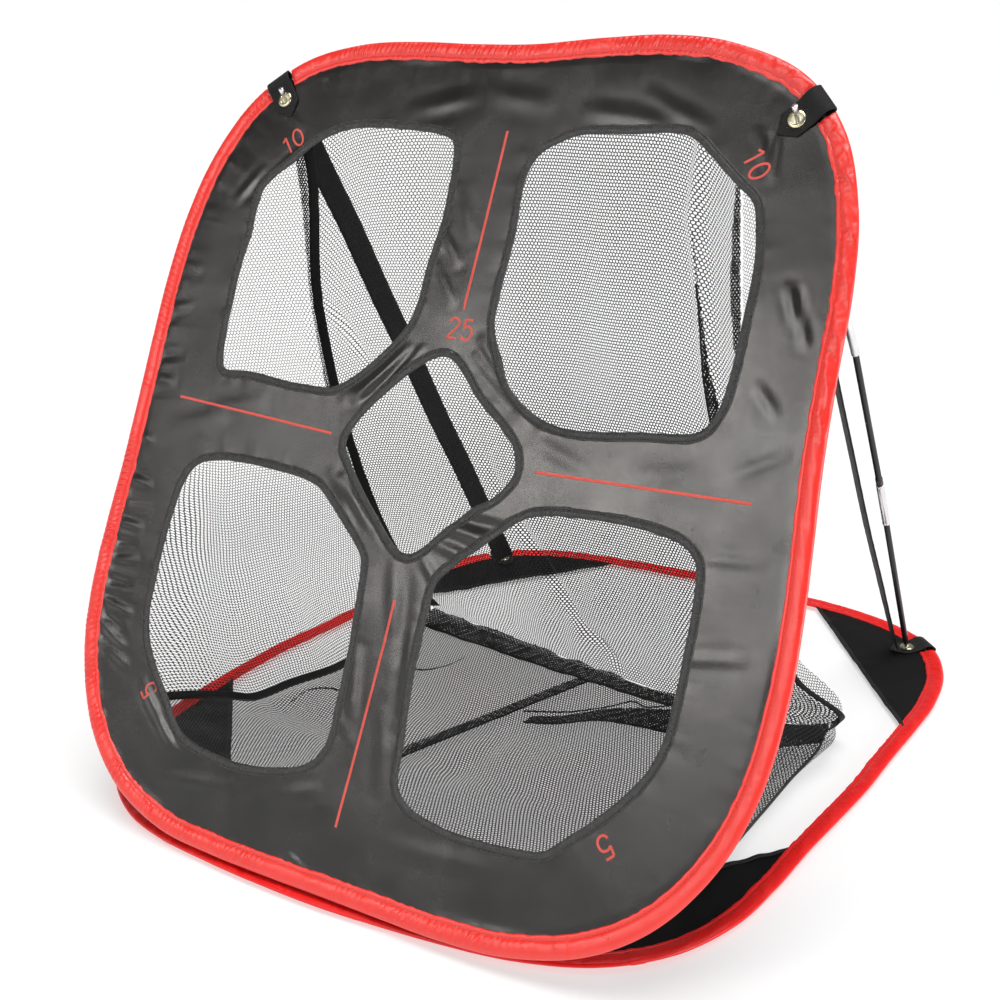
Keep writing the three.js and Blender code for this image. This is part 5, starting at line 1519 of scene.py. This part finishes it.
# the net's edges where it is sewn behind the panel
t = np.linspace(0, 1, 240)
c = shift(TOP.at(t))
ribbon("bag_top_tape", [c + FRONT * q1 + E2 * q2 for q1, q2 in ((2.2, 5.0), (1.0, 1.0), (-0.8, -3.0), (-1.2, -7.0))], 0.9, SEAM, None, "panel")
for side, sx in (("right", 1), ("left", -1)):
    c = EDGES[sx].at(t)
    ribbon(f"bag_side_tape_{side}", [c + FRONT * q1 + np.array([sx * q2, 0, 0]) for q1, q2 in ((2.6, 8.0), (1.4, 3.0), (-0.4, -1.0), (-1.0, -5.0))], 0.9, SEAM, None, "panel")

# ------------------------------------------------------------------ floor and light
def lamp(name, azimuth, elevation, away, width, height, radiance, roll=0.0, aim=(0.0, 0.0, 0.3), warm=False):
    """A rectangular softbox; its brightness is given as radiance, so its size doesn't change it."""
    a, e = math.radians(azimuth), math.radians(elevation)
    d = Vector((math.sin(a) * math.cos(e), -math.cos(a) * math.cos(e), math.sin(e)))
    l = bpy.data.lights.new(name, "AREA")
    l.shape, l.size, l.size_y = "RECTANGLE", width, height
    l.energy = radiance * math.pi * width * height
    if warm:
        l.color = (1.0, 0.965, 0.925)
    ob = bpy.data.objects.new(name, l)
    bpy.context.scene.collection.objects.link(ob)
    ob.location = Vector(aim) + d * away
    ob.rotation_euler = ((-d).to_track_quat("-Z", "Y").to_matrix() @ Matrix.Rotation(math.radians(roll), 3, "Z")).to_euler()


def make_stage():
    m, t, b = material("studio_floor", (0.80, 0.80, 0.80), 0.8, spec=0.1)
    b.inputs["Emission Color"].default_value = (1, 1, 1, 1)
    b.inputs["Emission Strength"].default_value = 0.52
    vec = object_space(t)
    nz = node(t, "ShaderNodeTexNoise", Scale=3.0, Detail=2.0)
    t.links.new(vec, nz.inputs["Vector"])
    t.links.new(colour_mix(t, nz.outputs["Fac"], (0.50, 0.50, 0.50), (0.52, 0.52, 0.52)), b.inputs["Base Color"])
    me = bpy.data.meshes.new("studio_floor")
    me.from_pydata([(-20, -20, -0.0005), (20, -20, -0.0005), (20, 20, -0.0005), (-20, 20, -0.0005)], [], [(0, 1, 2, 3)])
    me.materials.append(m)
    o = bpy.data.objects.new("studio_floor", me)
    bpy.context.scene.collection.objects.link(o)
    w = bpy.data.worlds.new("studio")
    bpy.context.scene.world = w
    w.use_nodes = True
    tree = w.node_tree
    bg = tree.nodes["Background"]
    tc = node(tree, "ShaderNodeTexCoord")
    sp = node(tree, "ShaderNodeSeparateXYZ")
    tree.links.new(tc.outputs["Generated"], sp.inputs["Vector"])
    cr = node(tree, "ShaderNodeValToRGB")
    tree.links.new(sp.outputs["Z"], cr.inputs["Fac"])
    e = cr.color_ramp.elements
    e[0].position, e[0].color = 0.0, (0.94, 0.94, 0.94, 1)
    e[1].position, e[1].color = 1.0, (3.0, 3.0, 3.0, 1)
    for pos, v in ((0.14, 0.74), (0.27, 0.40), (0.40, 0.17), (0.84, 0.10), (0.93, 0.6)):
        q = cr.color_ramp.elements.new(pos)
        q.color = (v, v, v, 1)
    tree.links.new(cr.outputs["Color"], bg.inputs["Color"])
    bg.inputs["Strength"].default_value = 1.0
    sun = bpy.data.lights.new("sky_softbox", "SUN")
    sun.energy, sun.angle = 1.6, 0.7
    ob = bpy.data.objects.new("sky_softbox", sun)
    bpy.context.scene.collection.objects.link(ob)
    ob.rotation_euler = Vector((-0.12, -0.05, -1.0)).to_track_quat("-Z", "Y").to_euler()
    lamp("soft_front", -31.0, 32.0, 8.0, 2.5, 1.8, 8.4, 27, warm=True)
    lamp("soft_right", 84, 12, 4.0, 2.2, 1.6, 6.5)


make_stage()
bpy.context.scene.view_settings.view_transform = "Standard"
